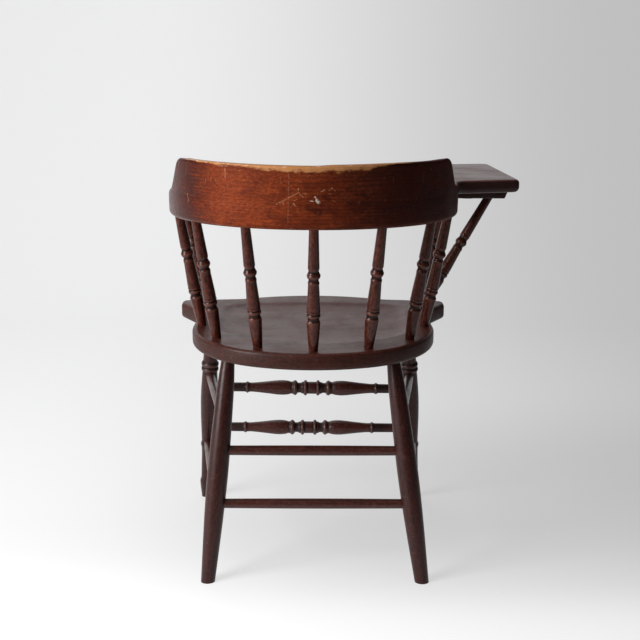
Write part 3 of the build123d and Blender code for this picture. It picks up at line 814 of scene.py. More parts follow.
def crest_top(along, inside):
    """Height of the crest's top at a place on the bow."""
    height = CREST_TOP
    for _ in range(4):  # the rail leans, so its place depends on its height
        point = bent(along, inside, height)
        share = min(1.0, abs(point.x) / CREST_CORNER_X)
        tilt = CREST_TILT * smooth(-along / 40.0) * smooth((250.0 + along) / 120.0)
        flick = CREST_TILT * smooth((-point.x - FLICK_FROM) / FLICK_OVER)
        level = CREST_TOP - CREST_DIP * (1 - share**1.5) + tilt + flick
        height = min(ogee(point.y) + flick, level)
    return height


GOLD_LEAST, GOLD_MORE = 1.2, 9.8  # millimetres down from the outer edge


def golden(along):
    """How far down, in millimetres, the finish is worn off the crest's outer edge."""
    begins = smooth((along + 150.0) / 90.0)
    narrows = 0.24 + 0.76 * smooth((150.0 - along) / 110.0)
    return GOLD_LEAST + GOLD_MORE * begins * narrows * smooth((258.0 - along) / 60.0)


def handled(along):
    """How much of the crest's top is rubbed at all: its ends are not."""
    return smooth((along + 215.0) / 80.0) * smooth((300.0 - along) / 60.0)


# %% The crest's sections
CREST_ARRIS, CREST_STATIONS, INNER_STEPS = 4.0, 150, 7
INNER_RELIEF, RUBBED_FROM = 0.6, 1.3
OUTER_SHARES = (0.02, 0.04, 0.06, 0.08, 0.11, 0.14, 0.18, 0.24, 0.34, 0.48, 0.64, 0.82)


def crest_ring(along):
    """One section of the crest, anticlockwise seen along the bow from its middle, with wear."""
    top_out, top_in = crest_top(along, 0), crest_top(along, CREST_LIP)
    tall = min(top_out, top_in) - BOW_HIGH
    arris = min(CREST_ARRIS, tall * 0.45)
    share = tall / (CREST_HIGH - BOW_HIGH)
    thick_top = CREST_FOOT + (CREST_LIP - CREST_FOOT) * share
    points = [(0.0, BOW_HIGH + 0.05, 0.0), (CREST_FOOT, BOW_HIGH + 0.05, 0.0)]
    for i in range(1, INNER_STEPS):
        t = i / INNER_STEPS
        points.append((CREST_FOOT + (thick_top - CREST_FOOT) * t, BOW_HIGH + (tall - arris) * t, 0.0))
    held, gold = handled(along), golden(along)
    points += [(thick_top - arris * c, top_in - arris * s, INNER_RELIEF * held) for c, s in quarter()]
    for c, s in quarter():
        down = arris * c
        points.append((arris * s, top_out - down, min(1.0, RUBBED_FROM - down / gold) * held))
    for share in OUTER_SHARES:
        down = arris + (tall - arris) * share
        points.append((0.0, top_out - down, max(0.0, RUBBED_FROM - down / gold) * held))
    return points


def build_crest():
    bm, grain, relief = blank()
    turns = (math.pi / 2 * (2 * i / CREST_STATIONS - 1) for i in range(CREST_STATIONS + 1))
    stations = [crest_end * math.sin(turn) for turn in turns]
    sections = [crest_ring(s) for s in stations]
    loops = [[Vector((s, *point[:2])) for point in section] for s, section in zip(stations, sections)]
    rings = grown(bm, loops)
    for ring, section in zip(rings, sections):
        for vert, point in zip(ring, section):
            vert[relief] = point[2]
    fill_holes(bm)
    to_bow(bm, grain)
    return stored(bm, "leaning_crest", ["crest_rail"], "crest_wood")


crest = build_crest()
print("crest faces:", len(crest.data.polygons))

# %% [markdown]
# ## The tablet and its batten
# The writing tablet is a board with a wide outer end and a tail that lies on the arm. Its outline is
# a polygon whose corners are rounded by arcs, small at the outer side and wide where it sweeps in
# past the sitter. A batten under it takes the top of the long brace: one face extruded, with all its
# edges softened by a small bevel.

# %% The tablet
TABLET_CORNERS = [  # X, Y and rounding, anticlockwise from the tail's inner corner
    (-231.0, -125.0, 0.0), (-257.0, -125.0, 0.0), (-262.0, -188.0, 36.0), (-384.0, -228.0, 16.0),
    (-385.0, -650.0, 22.0), (-118.0, -576.0, 46.0), (-213.0, -318.0, 110.0),
]
TABLET_ARRIS, TABLET_UNDER_ARRIS = 8.0, 9.5
# The tablet's edge and the batten under it are painted dark as shade.
TABLET_RUBBED, TABLET_SHADE = 0.9, -1.0


def rounded_polygon(corners):
    """A polygon with its corners rounded, as a closed line."""
    spots = [Vector((x, y)) for x, y, _ in corners]
    line = []
    for i, (_, _, radius) in enumerate(corners):
        before, after = spots[i - 1], spots[(i + 1) % len(spots)]
        line += rounded_corner(before, spots[i], after, radius) if radius else [spots[i]]
    return line


def tablet_relief(height, inset):
    """Relief of the tablet: its top arris is rubbed, its edge painted dark as shade, its faces plain."""
    if 2.0 < inset < 6.5 and height > TABLET_TOP - TABLET_ARRIS:
        return TABLET_RUBBED
    return 0.0 if inset > 4.0 else TABLET_SHADE


def build_tablet():
    plan = evenly(rounded_polygon(TABLET_CORNERS), 5.0, closed=True)
    normals = inward(plan)
    bm, grain, relief = blank()
    levels = round_levels(TABLET_UNDER, TABLET_TOP, TABLET_UNDER_ARRIS, TABLET_ARRIS)
    loops = [[chair(*(p + n * inset), height) for p, n in zip(plan, normals)] for height, inset in levels]
    rings = grown(bm, loops)
    for ring, level in zip(rings, levels):
        for vert in ring:
            vert[relief] = tablet_relief(*level)
    fill_holes(bm)
    for vert in bm.verts:
        vert[grain] = (vert.co.x + TABLET_CUT, vert.co.z, vert.co.y)
    return stored(bm, "tablet_board", ["writing_tablet"], "tablet_wood")


tablet = build_tablet()
print("tablet faces:", len(tablet.data.polygons))

# %% The batten
batten_low, batten_high = (workshop(corner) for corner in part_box("tablet_batten"))
BATTEN_BEVEL, BATTEN_ARRIS = 9.0, 1.6


def build_batten():
    bm, grain, relief = blank()
    low, high = batten_low, batten_high
    profile = [
        (high.x, high.z), (low.x, high.z), (low.x + BATTEN_BEVEL, low.z),
        (high.x - BATTEN_BEVEL, low.z), (high.x, low.z + BATTEN_BEVEL),
    ]
    verts = [bm.verts.new(chair(x, low.y, z)) for x, z in profile]
    face = bm.faces.new(verts)
    made = bmesh.ops.extrude_face_region(bm, geom=[face])["geom"]
    moved = only(bmesh.types.BMVert, made)
    bmesh.ops.translate(bm, verts=moved, vec=(0, (high.y - low.y) * MM, 0))
    bmesh.ops.bevel(
        bm, geom=bm.edges[:], offset=BATTEN_ARRIS * MM, affect="EDGES", segments=3, profile=0.5,
        material=-1,
    )
    # The whole batten, under the tablet, is painted dark as shade.
    for vert in bm.verts:
        vert[grain] = (vert.co.y + BATTEN_CUT, vert.co.z, vert.co.x)
        vert[relief] = TABLET_SHADE
    return stored(bm, "batten_cleat", ["tablet_batten"], "tablet_wood")


batten = build_batten()
print("batten faces:", len(batten.data.polygons))

# %% [markdown]
# ## Screw heads
# Three screws hold the tablet down from under the arm and four hold the batten. Such screws have
# flat slotted heads. A disc is cut along both sides of its slot and the strip between them is
# pushed in; the rim is then drawn down into the wood.

# %% Slotted heads under the arm and the batten
HEAD_PROUD, HEAD_DEEP, SLOT_HALF, SLOT_DEEP, SLOT_DRAFT = 0.5, 2, 0.55, 0.9, 0.05
LOWEST, HEAD_APART = 0.0002, 0.02  # metres; points nearer than the second are of one head


def head_places(node):
    """The middle and the radius, in metres, of each screw head of a CAD node that points down."""
    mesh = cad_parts[node].data
    floor = min(v.co.z for v in mesh.vertices)
    rims = [v.co for v in mesh.vertices if v.co.z < floor + LOWEST]
    clusters = []
    for spot in rims:
        near = next((c for c in clusters if (c[0] - spot).length < HEAD_APART), None)
        if near:
            near.append(spot)
        else:
            clusters.append([spot])
    places = []
    for cluster in clusters:
        middle = sum(cluster, Vector()) / len(cluster)
        places.append((middle, max((spot - middle).length for spot in cluster)))
    return places


def build_heads(name, node, surface):
    """Slotted heads of one node's screws, standing a little proud of the wood at a given height."""
    bm = bmesh.new()
    for index, (middle, radius) in enumerate(head_places(node)):
        one = bmesh.new()
        bmesh.ops.create_circle(one, cap_ends=True, segments=40, radius=radius)
        for side in (-1, 1):
            bmesh.ops.bisect_plane(
                one, geom=everything(one), plane_co=(side * SLOT_HALF * MM, 0, 0), plane_no=(1, 0, 0),
            )
        slot = [f for f in one.faces if abs(f.calc_center_median().x) < SLOT_HALF * MM]
        bmesh.ops.inset_individual(one, faces=slot, thickness=SLOT_DRAFT * MM)
        made = bmesh.ops.extrude_face_region(one, geom=slot)["geom"]
        bmesh.ops.delete(one, geom=slot, context="FACES")
        lowered = only(bmesh.types.BMVert, made)
        bmesh.ops.translate(one, verts=lowered, vec=(0, 0, -SLOT_DEEP * MM))
        rim = [e for e in one.edges if e.is_boundary]
        lowered = only(bmesh.types.BMVert, bmesh.ops.extrude_edge_only(one, edges=rim)["geom"])
        bmesh.ops.translate(one, verts=lowered, vec=(0, 0, -HEAD_DEEP * MM))
        turn = Matrix.Rotation(math.pi, 4, "X") @ Matrix.Rotation(0.9 * index + 0.4, 4, "Z")
        place = Matrix.Translation((middle.x, middle.y, (surface - HEAD_PROUD) * MM))
        bmesh.ops.transform(one, matrix=place @ turn, verts=one.verts)
        fill_holes(one)
        part = bpy.data.meshes.new("head")
        one.to_mesh(part)
        one.free()
        bm.from_mesh(part)
        bpy.data.meshes.remove(part)
    return stored(bm, name, [node], "screw_steel")


heads = [
    build_heads("arm_screw_heads", "arm_screws", BOW_LOW),
    build_heads("batten_screw_heads", "batten_screws", batten_low.z),
]
print("screw heads' faces:", [len(head.data.polygons) for head in heads])

# %% [markdown]
# ## Stained wood
# The chair is one dark reddish-brown stain over a close-grained wood. Fibres show as fine streaks
# along each piece, the finish is thicker and darker in hollows, where shade is also painted in, and
# ridges are rubbed paler. These effects are shared by all the woods, so each is a node group that
# reads the stored attributes.

# %% Helpers for node groups


class Graph:
    """A small helper that adds and links nodes in one node tree."""

    def __init__(self, tree):
        self.tree = tree

    def link(self, source, target):
        self.tree.links.new(source, target)

    def feed(self, target, value):
        """Links a socket to an input, or sets the input to a plain value."""
        if isinstance(value, bpy.types.NodeSocket):
            self.link(value, target)
        else:
            target.default_value = value

    def node(self, kind, inputs=None, **settings):
        """A new node with its settings and its inputs, by name or by number."""
        made = self.tree.nodes.new(kind)
        for key, value in settings.items():
            setattr(made, key, value)
        for key, value in (inputs or {}).items():
            self.feed(made.inputs[key], value)
        return made

    def math(self, operation, *values, clamp=False):
        inputs = dict(enumerate(values))
        return self.node("ShaderNodeMath", inputs, operation=operation, use_clamp=clamp).outputs[0]

    def times(self, first, second):
        return self.math("MULTIPLY", first, second)

    def plus(self, value, factor, rest):
        """value * factor + rest."""
        return self.math("MULTIPLY_ADD", value, factor, rest)

    def noise(self, vector, scale, detail=4.0, roughness=0.55, distortion=0.0):
        """Noise at one scale, or at three where the scale is a tuple."""
        if isinstance(scale, tuple):
            vector, scale = self.stretched(vector, scale), 1.0
        inputs = {"Vector": vector, "Scale": scale, "Detail": detail}
        inputs.update({"Roughness": roughness, "Distortion": distortion})
        return self.node("ShaderNodeTexNoise", inputs).outputs["Fac"]

    def stretched(self, vector, scale, rotation=(0, 0, 0)):
        inputs = {"Vector": vector, "Scale": scale, "Rotation": rotation}
        return self.node("ShaderNodeMapping", inputs).outputs["Vector"]

    def ramp(self, value, low, high, out_low=0.0, out_high=1.0):
        names = ("Value", "From Min", "From Max", "To Min", "To Max")
        inputs = dict(zip(names, (value, low, high, out_low, out_high)))
        return self.node("ShaderNodeMapRange", inputs, interpolation_type="SMOOTHSTEP").outputs["Result"]

    def mix(self, share, first, second, blend="MIX"):
        inputs = {"Factor": share, 6: first, 7: second}
        return self.node("ShaderNodeMix", inputs, data_type="RGBA", blend_type=blend).outputs[2]

    def laid(self, color, mask, share, tint):
        """A colour with a tint over it where the mask is high."""
        return self.mix(self.times(mask, share), color, (*tint, 1))


def group(name, inputs, outputs):
    """A new shader node group; returns its graph, its given values and its outputs."""
    tree = bpy.data.node_groups.new(name, "ShaderNodeTree")
    for socket, kind in inputs.items():
        tree.interface.new_socket(socket, in_out="INPUT", socket_type=f"NodeSocket{kind}")
    for socket in outputs:
        tree.interface.new_socket(socket, in_out="OUTPUT", socket_type="NodeSocketFloat")
    graph = Graph(tree)
    return graph, graph.node("NodeGroupInput").outputs, graph.node("NodeGroupOutput").inputs


# %% [markdown]
# ### Grain
# Wood fibres are hundreds of times longer than they are wide. Noise stretched along Z of the grain
# coordinates gives streaks; slow clouds and faint growth rings change the tone; a mottle breaks the
# streaks up; and sparse short dashes are the open pores that hold the darkest stain.

# %% The grain group


def make_grain():
    g, given, out = group("Wood grain", {"Vector": "Vector"}, ("Streaks", "Figure", "Pores", "Mottle"))
    vector = given["Vector"]
    fine = g.noise(vector, (620, 620, 26), 5.0, 0.62)
    broad = g.noise(vector, (190, 190, 11), 4.0, 0.55, 0.6)
    g.feed(out["Streaks"], g.ramp(g.plus(fine, 0.5, g.times(broad, 0.5)), 0.36, 0.64))
    clouds = g.noise(vector, (34, 34, 12), 4.0, 0.6, 1.6)
    waves = {"Vector": g.stretched(vector, (90, 90, 7)), "Scale": 0.55, "Distortion": 9.0}
    waves.update({"Detail": 3.0, "Detail Scale": 0.45})
    rings = g.node("ShaderNodeTexWave", waves, wave_type="BANDS", bands_direction="Y", wave_profile="SIN")
    figure = g.plus(rings.outputs["Fac"], 0.15, g.times(clouds, 0.85))
    g.feed(out["Figure"], g.ramp(figure, 0.32, 0.68))
    g.feed(out["Mottle"], g.ramp(g.noise(vector, (240, 240, 130), 8.0, 0.70, 0.5), 0.34, 0.66))
    g.feed(out["Pores"], g.ramp(g.noise(vector, (1000, 1000, 70), 2.0, 0.5), 0.58, 0.70))
    return g.tree


grain_group = make_grain()
print("grain group:", len(grain_group.nodes), "nodes")

# %% [markdown]
# ### Wear and shade
# Ridges of the turnings and arrises of the boards lose their dark finish first, in patches, not as
# an even line. Hollows keep it and gather wax and dust, and are painted darker as shade as well.
# One mask, Rubbed, is the relief above 0 broken up with noise. The other, for dirt and painted
# shade, is the relief below 0, which also darkens the tablet's edge, the batten under it and the
# seat's top arris as painted shade.

# %% The wear and shade group


def make_wear_and_shade():
    inputs = {"Vector": "Vector", "Relief": "Float", "Patchiness": "Float"}
    g, given, out = group("Edge wear and shade", inputs, ("Rubbed", "DirtAndShade"))
    patches = g.noise(given["Vector"], (150, 150, 60), 5.0, 0.65)
    edge = g.plus(g.math("SUBTRACT", patches, 0.5), given["Patchiness"], given["Relief"])
    g.feed(out["Rubbed"], g.ramp(edge, 0.25, 0.85))
    # Dirt in hollows, and painted shade, wherever the relief is below 0.
    g.feed(out["DirtAndShade"], g.ramp(g.times(given["Relief"], -1.0), 0.05, 0.8))
    return g.tree


wear_and_shade_group = make_wear_and_shade()
print("wear group:", len(wear_and_shade_group.nodes), "nodes")

# %% [markdown]
# ### Scuffs
# Decades of use leave fine pale scratches in every direction, small dark specks and dull smudges.
# Thin lines are the borders of a stretched Voronoi pattern, kept only where a slow noise is high.
# Specks are the middles of Voronoi cells, and smudges a plain noise.

# %% The scuffs group


def make_scuffs():
    g, given, out = group("Scuffs", {"Vector": "Vector"}, ("Scratches", "Specks", "Smudges"))
    lines = None
    for turn, scale in ((0.5, 95), (2.1, 80)):
        mapped = g.stretched(given["Vector"], (1.0, 0.3, 0.6), (turn, turn * 0.7, turn * 1.3))
        inputs = {"Vector": mapped, "Scale": scale}
        cells = g.node("ShaderNodeTexVoronoi", inputs, feature="DISTANCE_TO_EDGE")
        thin = g.ramp(cells.outputs["Distance"], 0.004, 0.030, 1.0, 0.0)
        line = g.times(thin, g.ramp(g.noise(mapped, scale * 1.6, 2.0), 0.60, 0.68))
        lines = line if lines is None else g.math("MAXIMUM", lines, line)
    g.feed(out["Scratches"], lines)
    inputs = {"Vector": given["Vector"], "Scale": 130}
    specks = g.node("ShaderNodeTexVoronoi", inputs, feature="F1")
    g.feed(out["Specks"], g.ramp(specks.outputs["Distance"], 0.05, 0.12, 1.0, 0.0))
    g.feed(out["Smudges"], g.ramp(g.noise(given["Vector"], 14.0, 6.0, 0.65), 0.38, 0.66))
    return g.tree


scuffs_group = make_scuffs()
print("scuffs group:", len(scuffs_group.nodes), "nodes")

# %% [markdown]
# ### Marks
# Knocks and scrapes sit at places of their own. A mark is a straight stroke between two points of
# the straightened bow; its group measures the distance to that stroke, and a little noise on the
# place makes it ragged.

# %% The mark group


def make_mark():
    inputs = {"Vector": "Vector", "Start": "Vector", "End": "Vector", "Width": "Float"}
    g, given, out = group("Mark", inputs, ("Mask",))

    def vector(operation, *values, **scale):
        inputs = {**dict(enumerate(values)), **scale}
        made = g.node("ShaderNodeVectorMath", inputs, operation=operation)
        return made.outputs["Value" if operation in ("DOT_PRODUCT", "LENGTH") else "Vector"]

    run = vector("SUBTRACT", given["End"], given["Start"])
    gap = vector("SUBTRACT", given["Vector"], given["Start"])
    share = g.math("DIVIDE", vector("DOT_PRODUCT", gap, run), vector("DOT_PRODUCT", run, run), clamp=True)
    away = vector("LENGTH", vector("SUBTRACT", gap, vector("SCALE", run, Scale=share)))
    g.feed(out["Mask"], g.ramp(g.math("DIVIDE", away, given["Width"]), 0.25, 1.0, 1.0, 0.0))
    return g.tree


mark_group = make_mark()
print("mark group:", len(mark_group.nodes), "nodes")

# %% Where the bow is marked
# Each stroke: (distance along the bow, height) of both ends and its half width, in millimetres.
SCRAPES = [
    ((61.6, 681.0), (50.0, 686.6), 1.2), ((50.0, 686.6), (38.6, 693.3), 1.1),
    ((38.6, 693.3), (25.7, 700.1), 0.9), ((25.8, 707.3), (24.1, 699.3), 1.0),
    ((25.7, 700.1), (16.1, 692.1), 0.7), ((51.7, 686.5), (48.4, 680.1), 0.8),
    ((32.1, 686.9), (27.3, 690.3), 1.0), ((33.7, 683.7), (28.9, 678.0), 1.1),
    ((17.7, 699.3), (12.1, 698.6), 1.2), ((-9.5, 701.9), (-17.5, 705.2), 0.9),
    ((-23.9, 705.2), (-28.8, 708.4), 0.8), ((-28.8, 708.4), (-33.6, 703.5), 1.0),
    ((155.8, 736.0), (154.7, 721.7), 1.5), ((171.9, 739.8), (150.7, 739.8), 1.0),
    ((200.1, 717.5), (197.5, 709.3), 0.6), ((253.0, 688.3), (248.7, 676.6), 1.0),
    ((248.7, 676.6), (251.5, 671.6), 0.8),
]
FAINT = [((41.2, 733.0), (42.0, 652.3), 1.1)]
CHIPS = [
    ((6.4, 687.3), (1.6, 686.4), 1.0), ((-1.5, 694.4), (-4.4, 688.1), 1.7),
    ((-4.2, 688.6), (-7.2, 684.8), 3.4),
]
DENTS = [
    ((-78.7, 697.6), (-88.6, 691.4), 4.5), ((10.4, 676.6), (-8.9, 668.4), 8.0),
    ((-16.0, 693.0), (-24.0, 690.0), 5.0),
]


def strokes(g, place, lines):
    """The union of several strokes as one mask."""
    mask = None
    for start, end, width in lines:
        ends = [(0, height * MM, along * MM) for along, height in (start, end)]
        inputs = {"Vector": place, "Start": ends[0], "End": ends[1], "Width": width * MM}
        made = g.node("ShaderNodeGroup", inputs, node_tree=mark_group).outputs["Mask"]
        mask = made if mask is None else g.math("MAXIMUM", mask, made)
    return mask


# %% [markdown]
# ### One recipe, several woods
# Each wood mixes its dark and light stain by the grain, lays the worn colour over the ridges, darkens
# the hollows with dirt and painted shade, and puts scratches and specks on top. The bow and the crest
# are redder. Their stain is paler in the middle and dark towards both ends, partly as painted shade,
# and they are knocked: their top edges are worn through to wood that is pale partly as a painted
# highlight. The shader itself stays in the material, under a thin clear coat where the old varnish
# has kept its gloss.

# %% What fades, shades and marks the bow
# The band's ends: a darker stain, made darker still as painted shade.
STAIN_AND_SHADE_DARK, STAIN_AND_SHADE_LIGHT = (0.020, 0.0036, 0.0018, 1), (0.078, 0.0150, 0.0085, 1)
# Bare wood on the top edges, pale partly as a painted highlight.
BARE_AND_HIGHLIGHT, SCRAPED = (0.84, 0.54, 0.38), (0.55, 0.28, 0.15)
FAINT_LINE, CHIPPED = (0.45, 0.24, 0.14), (0.62, 0.56, 0.48)
RAGGED = 0.0036  # metres that a stroke's outline is shaken to and fro


def darker(dark, share):
    return [c * share for c in dark]


def shaken(g, grain):
    """The place in the wood, shifted by a fine noise so that strokes are ragged."""
    inputs = {"Vector": g.stretched(grain, (400, 400, 400)), "Scale": 1.0}
    ragged = g.node("ShaderNodeTexNoise", inputs).outputs["Color"]
    inputs = {0: grain, 1: (0, RAGGED / 2, RAGGED / 2)}
    lifted = g.node("ShaderNodeVectorMath", inputs, operation="SUBTRACT").outputs[0]
    inputs = {0: ragged, 1: (0, RAGGED, RAGGED), 2: lifted}
    return g.node("ShaderNodeVectorMath", inputs, operation="MULTIPLY_ADD").outputs[0]


def faded_stain_and_shade(g, grain, along, figure, tone, color, dark):
    """The band's stain, paler in its middle and dark towards both ends, partly as painted shade;
    blotched, and darkest in its dents.
    """
    wander = g.plus(figure, 0.05, along)
    faded_and_lit = g.times(g.ramp(wander, -0.13, 0.12), g.ramp(wander, 0.28, 0.19))
    color = g.mix(faded_and_lit, g.mix(tone, STAIN_AND_SHADE_DARK, STAIN_AND_SHADE_LIGHT), color)
    stain = g.ramp(g.noise(grain, (26, 26, 14), 5.0, 0.62, 1.2), 0.40, 0.62)
    return g.laid(color, stain, 0.50, darker(dark, 0.75))


def knocked(g, grain, relief, place, color):
    """Bare wood on the top edge, pale partly as a painted highlight, scrapes, one faint line and chips
    over the colour so far.
    """
    bare_and_highlight = g.ramp(g.noise(grain, (170, 170, 75), 5.0, 0.65), 0.54, 0.64)
    broken = g.ramp(g.noise(grain, (420, 420, 420), 3.0), 0.36, 0.56)
    chips = g.times(strokes(g, place, CHIPS), g.ramp(broken, 0.0, 0.6, 0.25, 1.0))
    # Bare wood on the top edges, pale partly as a painted highlight.
    color = g.laid(color, g.times(bare_and_highlight, g.ramp(relief, 0.35, 0.95)), 0.8, BARE_AND_HIGHLIGHT)
    color = g.laid(color, g.times(strokes(g, place, SCRAPES), broken), 0.62, SCRAPED)
    color = g.laid(color, g.times(strokes(g, place, FAINT), broken), 0.26, FAINT_LINE)
    return g.laid(color, chips, 0.9, CHIPPED)


# %% The wood material
SCRATCHED, POLISH = 0.25, -0.36
BUMP_STRENGTH, BUMP_DISTANCE = 0.25, 0.0006


def new_material(name):
    """A new material, its graph and its shader."""
    material = bpy.data.materials.new(name)
    material.use_nodes = True
    return material, Graph(material.node_tree), material.node_tree.nodes["Principled BSDF"]


def wood(
    name, dark, light, worn, wear, rough, specular, coat=0.1, coat_rough=0.2, patchiness=1.6,
    faded_and_shaded=False, mottled=0.6, fibrous=0.55,
):
    """A stained, varnished and worn wood, with dirt and painted shade in its hollows."""
    material, g, shader = new_material(name)
    grain = g.node("ShaderNodeAttribute", attribute_name="grain").outputs["Vector"]
    relief = g.node("ShaderNodeAttribute", attribute_name="relief").outputs["Fac"]
    fibres = g.node("ShaderNodeGroup", {"Vector": grain}, node_tree=grain_group).outputs
    inputs = {"Vector": grain, "Relief": relief, "Patchiness": patchiness}
    edges = g.node("ShaderNodeGroup", inputs, node_tree=wear_and_shade_group).outputs
    marks = g.node("ShaderNodeGroup", {"Vector": grain}, node_tree=scuffs_group).outputs

    plain = 1.0 - mottled
    tone = g.times(fibres["Figure"], (1.0 - fibrous) * plain)
    tone = g.plus(fibres["Streaks"], fibrous * plain, tone)
    tone = g.plus(fibres["Mottle"], mottled, tone)
    color = g.mix(tone, (*dark, 1), (*light, 1))
    uneven = g.plus(marks["Smudges"], 0.12, rough - 0.05)
    if faded_and_shaded:
        along = g.node("ShaderNodeSeparateXYZ", {0: grain}).outputs["Z"]
        # The band's ends are darker, partly stain and partly painted shade.
        color = faded_stain_and_shade(g, grain, along, fibres["Figure"], tone, color, dark)
        place = shaken(g, grain)
        color = g.laid(color, strokes(g, place, DENTS), 0.6, darker(dark, 0.3))
        uneven = g.plus(g.ramp(along, 0.06, 0.30), POLISH, uneven)
    color = g.laid(color, fibres["Pores"], 0.6, darker(dark, 0.35))
    # Darker where the relief is below 0: dirt and painted shade in the turnings' hollows; painted shade
    # on the seat's top arris, the tablet's edge and the batten under it; and a darker seat edge all
    # round.
    color = g.laid(color, edges["DirtAndShade"], 0.85, darker(dark, 0.4))
    color = g.laid(color, edges["Rubbed"], wear, worn)
    color = g.laid(color, marks["Scratches"], SCRATCHED, worn)
    color = g.laid(color, marks["Specks"], 0.35, darker(dark, 0.3))
    if faded_and_shaded:
        color = knocked(g, grain, relief, place, color)
    g.feed(shader.inputs["Base Color"], color)

    uneven = g.plus(edges["DirtAndShade"], 0.22, uneven)
    g.feed(shader.inputs["Roughness"], g.plus(marks["Scratches"], 0.2, uneven))
    shader.inputs["Coat Weight"].default_value = coat
    shader.inputs["Coat Roughness"].default_value = coat_rough
    shader.inputs["Specular IOR Level"].default_value = specular

    height = g.plus(fibres["Streaks"], 0.25, g.times(fibres["Pores"], -0.5))
    height = g.plus(marks["Scratches"], -0.5, height)
    height = g.plus(marks["Smudges"], 0.8, height)
    inputs = {"Height": height, "Strength": BUMP_STRENGTH, "Distance": BUMP_DISTANCE}
    g.feed(shader.inputs["Normal"], g.node("ShaderNodeBump", inputs).outputs["Normal"])
    return material


# %% The chair's woods
BAND = dict(
    dark=(0.105, 0.0110, 0.0018), light=(0.350, 0.0600, 0.0105), rough=0.62, specular=0.13, coat=0.0,
    faded_and_shaded=True, fibrous=0.3,
)
LOOKS = {
    "spindle_wood": dict(
        dark=(0.014, 0.0034, 0.0024), light=(0.140, 0.0340, 0.0200), worn=(0.20, 0.10, 0.075),
        wear=0.35, rough=0.30, specular=0.14, coat=0.20, coat_rough=0.10, mottled=0.65,
    ),
    "bow_wood": dict(BAND, worn=(0.30, 0.13, 0.08), wear=0.3),
    "crest_wood": dict(BAND, worn=(0.60, 0.26, 0.095), wear=0.95, patchiness=2.2),
    "seat_wood": dict(
        dark=(0.030, 0.0075, 0.0050), light=(0.135, 0.0350, 0.0220), worn=(0.20, 0.11, 0.085),
        wear=0.3, rough=0.40, specular=0.225,
    ),
    "tablet_wood": dict(
        dark=(0.055, 0.0125, 0.0095), light=(0.180, 0.0570, 0.0430), worn=(0.26, 0.15, 0.12),
        wear=0.35, rough=0.36, specular=0.30, mottled=0.5,
    ),
    "leg_wood": dict(
        dark=(0.014, 0.0040, 0.0034), light=(0.072, 0.0175, 0.0132), worn=(0.20, 0.11, 0.09),
        wear=0.3, rough=0.38, specular=0.24, coat=0.14,
    ),
    "stretcher_wood": dict(
        dark=(0.026, 0.0070, 0.0052), light=(0.106, 0.0290, 0.0200), worn=(0.20, 0.11, 0.09),
        wear=0.3, rough=0.36, specular=0.28, coat=0.15, coat_rough=0.18,
    ),
}
WOODS = {name: wood(name, **look) for name, look in LOOKS.items()}
print("woods:", len(WOODS))

# %% [markdown]
# ### Bare wood and steel
# The dowels are unstained and out of sight, and the screws are old steel, dull in patches. One
# cloudy noise on Object coordinates changes their colour and roughness.

# %% Dowels and screws


def cloudy(name, base, metallic, rough):
    """A small part's finish, darker and rougher in clouds."""
    material, g, shader = new_material(name)
    cloud = g.noise(g.node("ShaderNodeTexCoord").outputs["Object"], (400, 400, 400), 5.0, 0.6)
    color = g.mix(g.ramp(cloud, 0.35, 0.7), (*base, 1), (*darker(base, 0.45), 1))
    g.feed(shader.inputs["Base Color"], color)
    g.feed(shader.inputs["Roughness"], g.ramp(cloud, 0.3, 0.7, rough - 0.12, rough + 0.15))
    shader.inputs["Metallic"].default_value = metallic
    return material


WOODS["dowel_wood"] = cloudy("dowel_wood", (0.32, 0.20, 0.11), 0.0, 0.7)
WOODS["screw_steel"] = cloudy("screw_steel", (0.30, 0.27, 0.24), 1.0, 0.45)

# %% Each piece gets the wood of its slot
for piece in pieces.values():
    piece.data.materials.append(WOODS[piece["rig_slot"]])
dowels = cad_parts["crest_dowels"].data
dowels.materials.clear()
dowels.materials.append(WOODS["dowel_wood"])
print("materials:", sorted(WOODS))

# %% [markdown]
# ## The studio
# The chair stands on a pale floor that curves up into a pale wall a good way behind it. The curve
# is one swept sheet, so there is no line where they meet. For the camera and in reflections part of
# the paper's paleness is its own. Its colour is painted lighter to one side and near the camera,
# and darker round the chair as a painted shadow. To reflections and bounced light its far side and
# its near part are painted duller, as the shade of a room, and from below the sheet is clear.

# %% Floor and wall
FLOOR_FRONT, WALL_BACK, SWEEP_RADIUS, WALL_HIGH, STAGE_HALF = 3.6, -3.2, 1.2, 4.2, 6.0  # metres
SWEEP_STEPS = 24


def build_studio():
    bm = bmesh.new()
    points = [(FLOOR_FRONT, 0.0), (WALL_BACK + SWEEP_RADIUS, 0.0)]
    for a in (math.pi / 2 * i / SWEEP_STEPS for i in range(1, SWEEP_STEPS + 1)):
        y = WALL_BACK + SWEEP_RADIUS - SWEEP_RADIUS * math.sin(a)
        points.append((y, SWEEP_RADIUS * (1 - math.cos(a))))
    points.append((WALL_BACK, WALL_HIGH))
    verts = [bm.verts.new((-STAGE_HALF, y, z)) for y, z in points]
    edges = [bm.edges.new(pair) for pair in zip(verts, verts[1:])]
    made = bmesh.ops.extrude_edge_only(bm, edges=edges)["geom"]
    moved = only(bmesh.types.BMVert, made)
    bmesh.ops.translate(bm, verts=moved, vec=(2 * STAGE_HALF, 0, 0))
    mesh = bpy.data.meshes.new("studio_sweep")
    bmesh.ops.recalc_face_normals(bm, faces=bm.faces)
    if sum(face.normal.z for face in bm.faces) < 0:
        bmesh.ops.reverse_faces(bm, faces=bm.faces)
    for face in bm.faces:
        face.smooth = True
    bm.to_mesh(mesh)
    bm.free()
    sweep = linked("studio_sweep", mesh)
    return sweep


studio = build_studio()
print("studio faces:", len(studio.data.polygons))

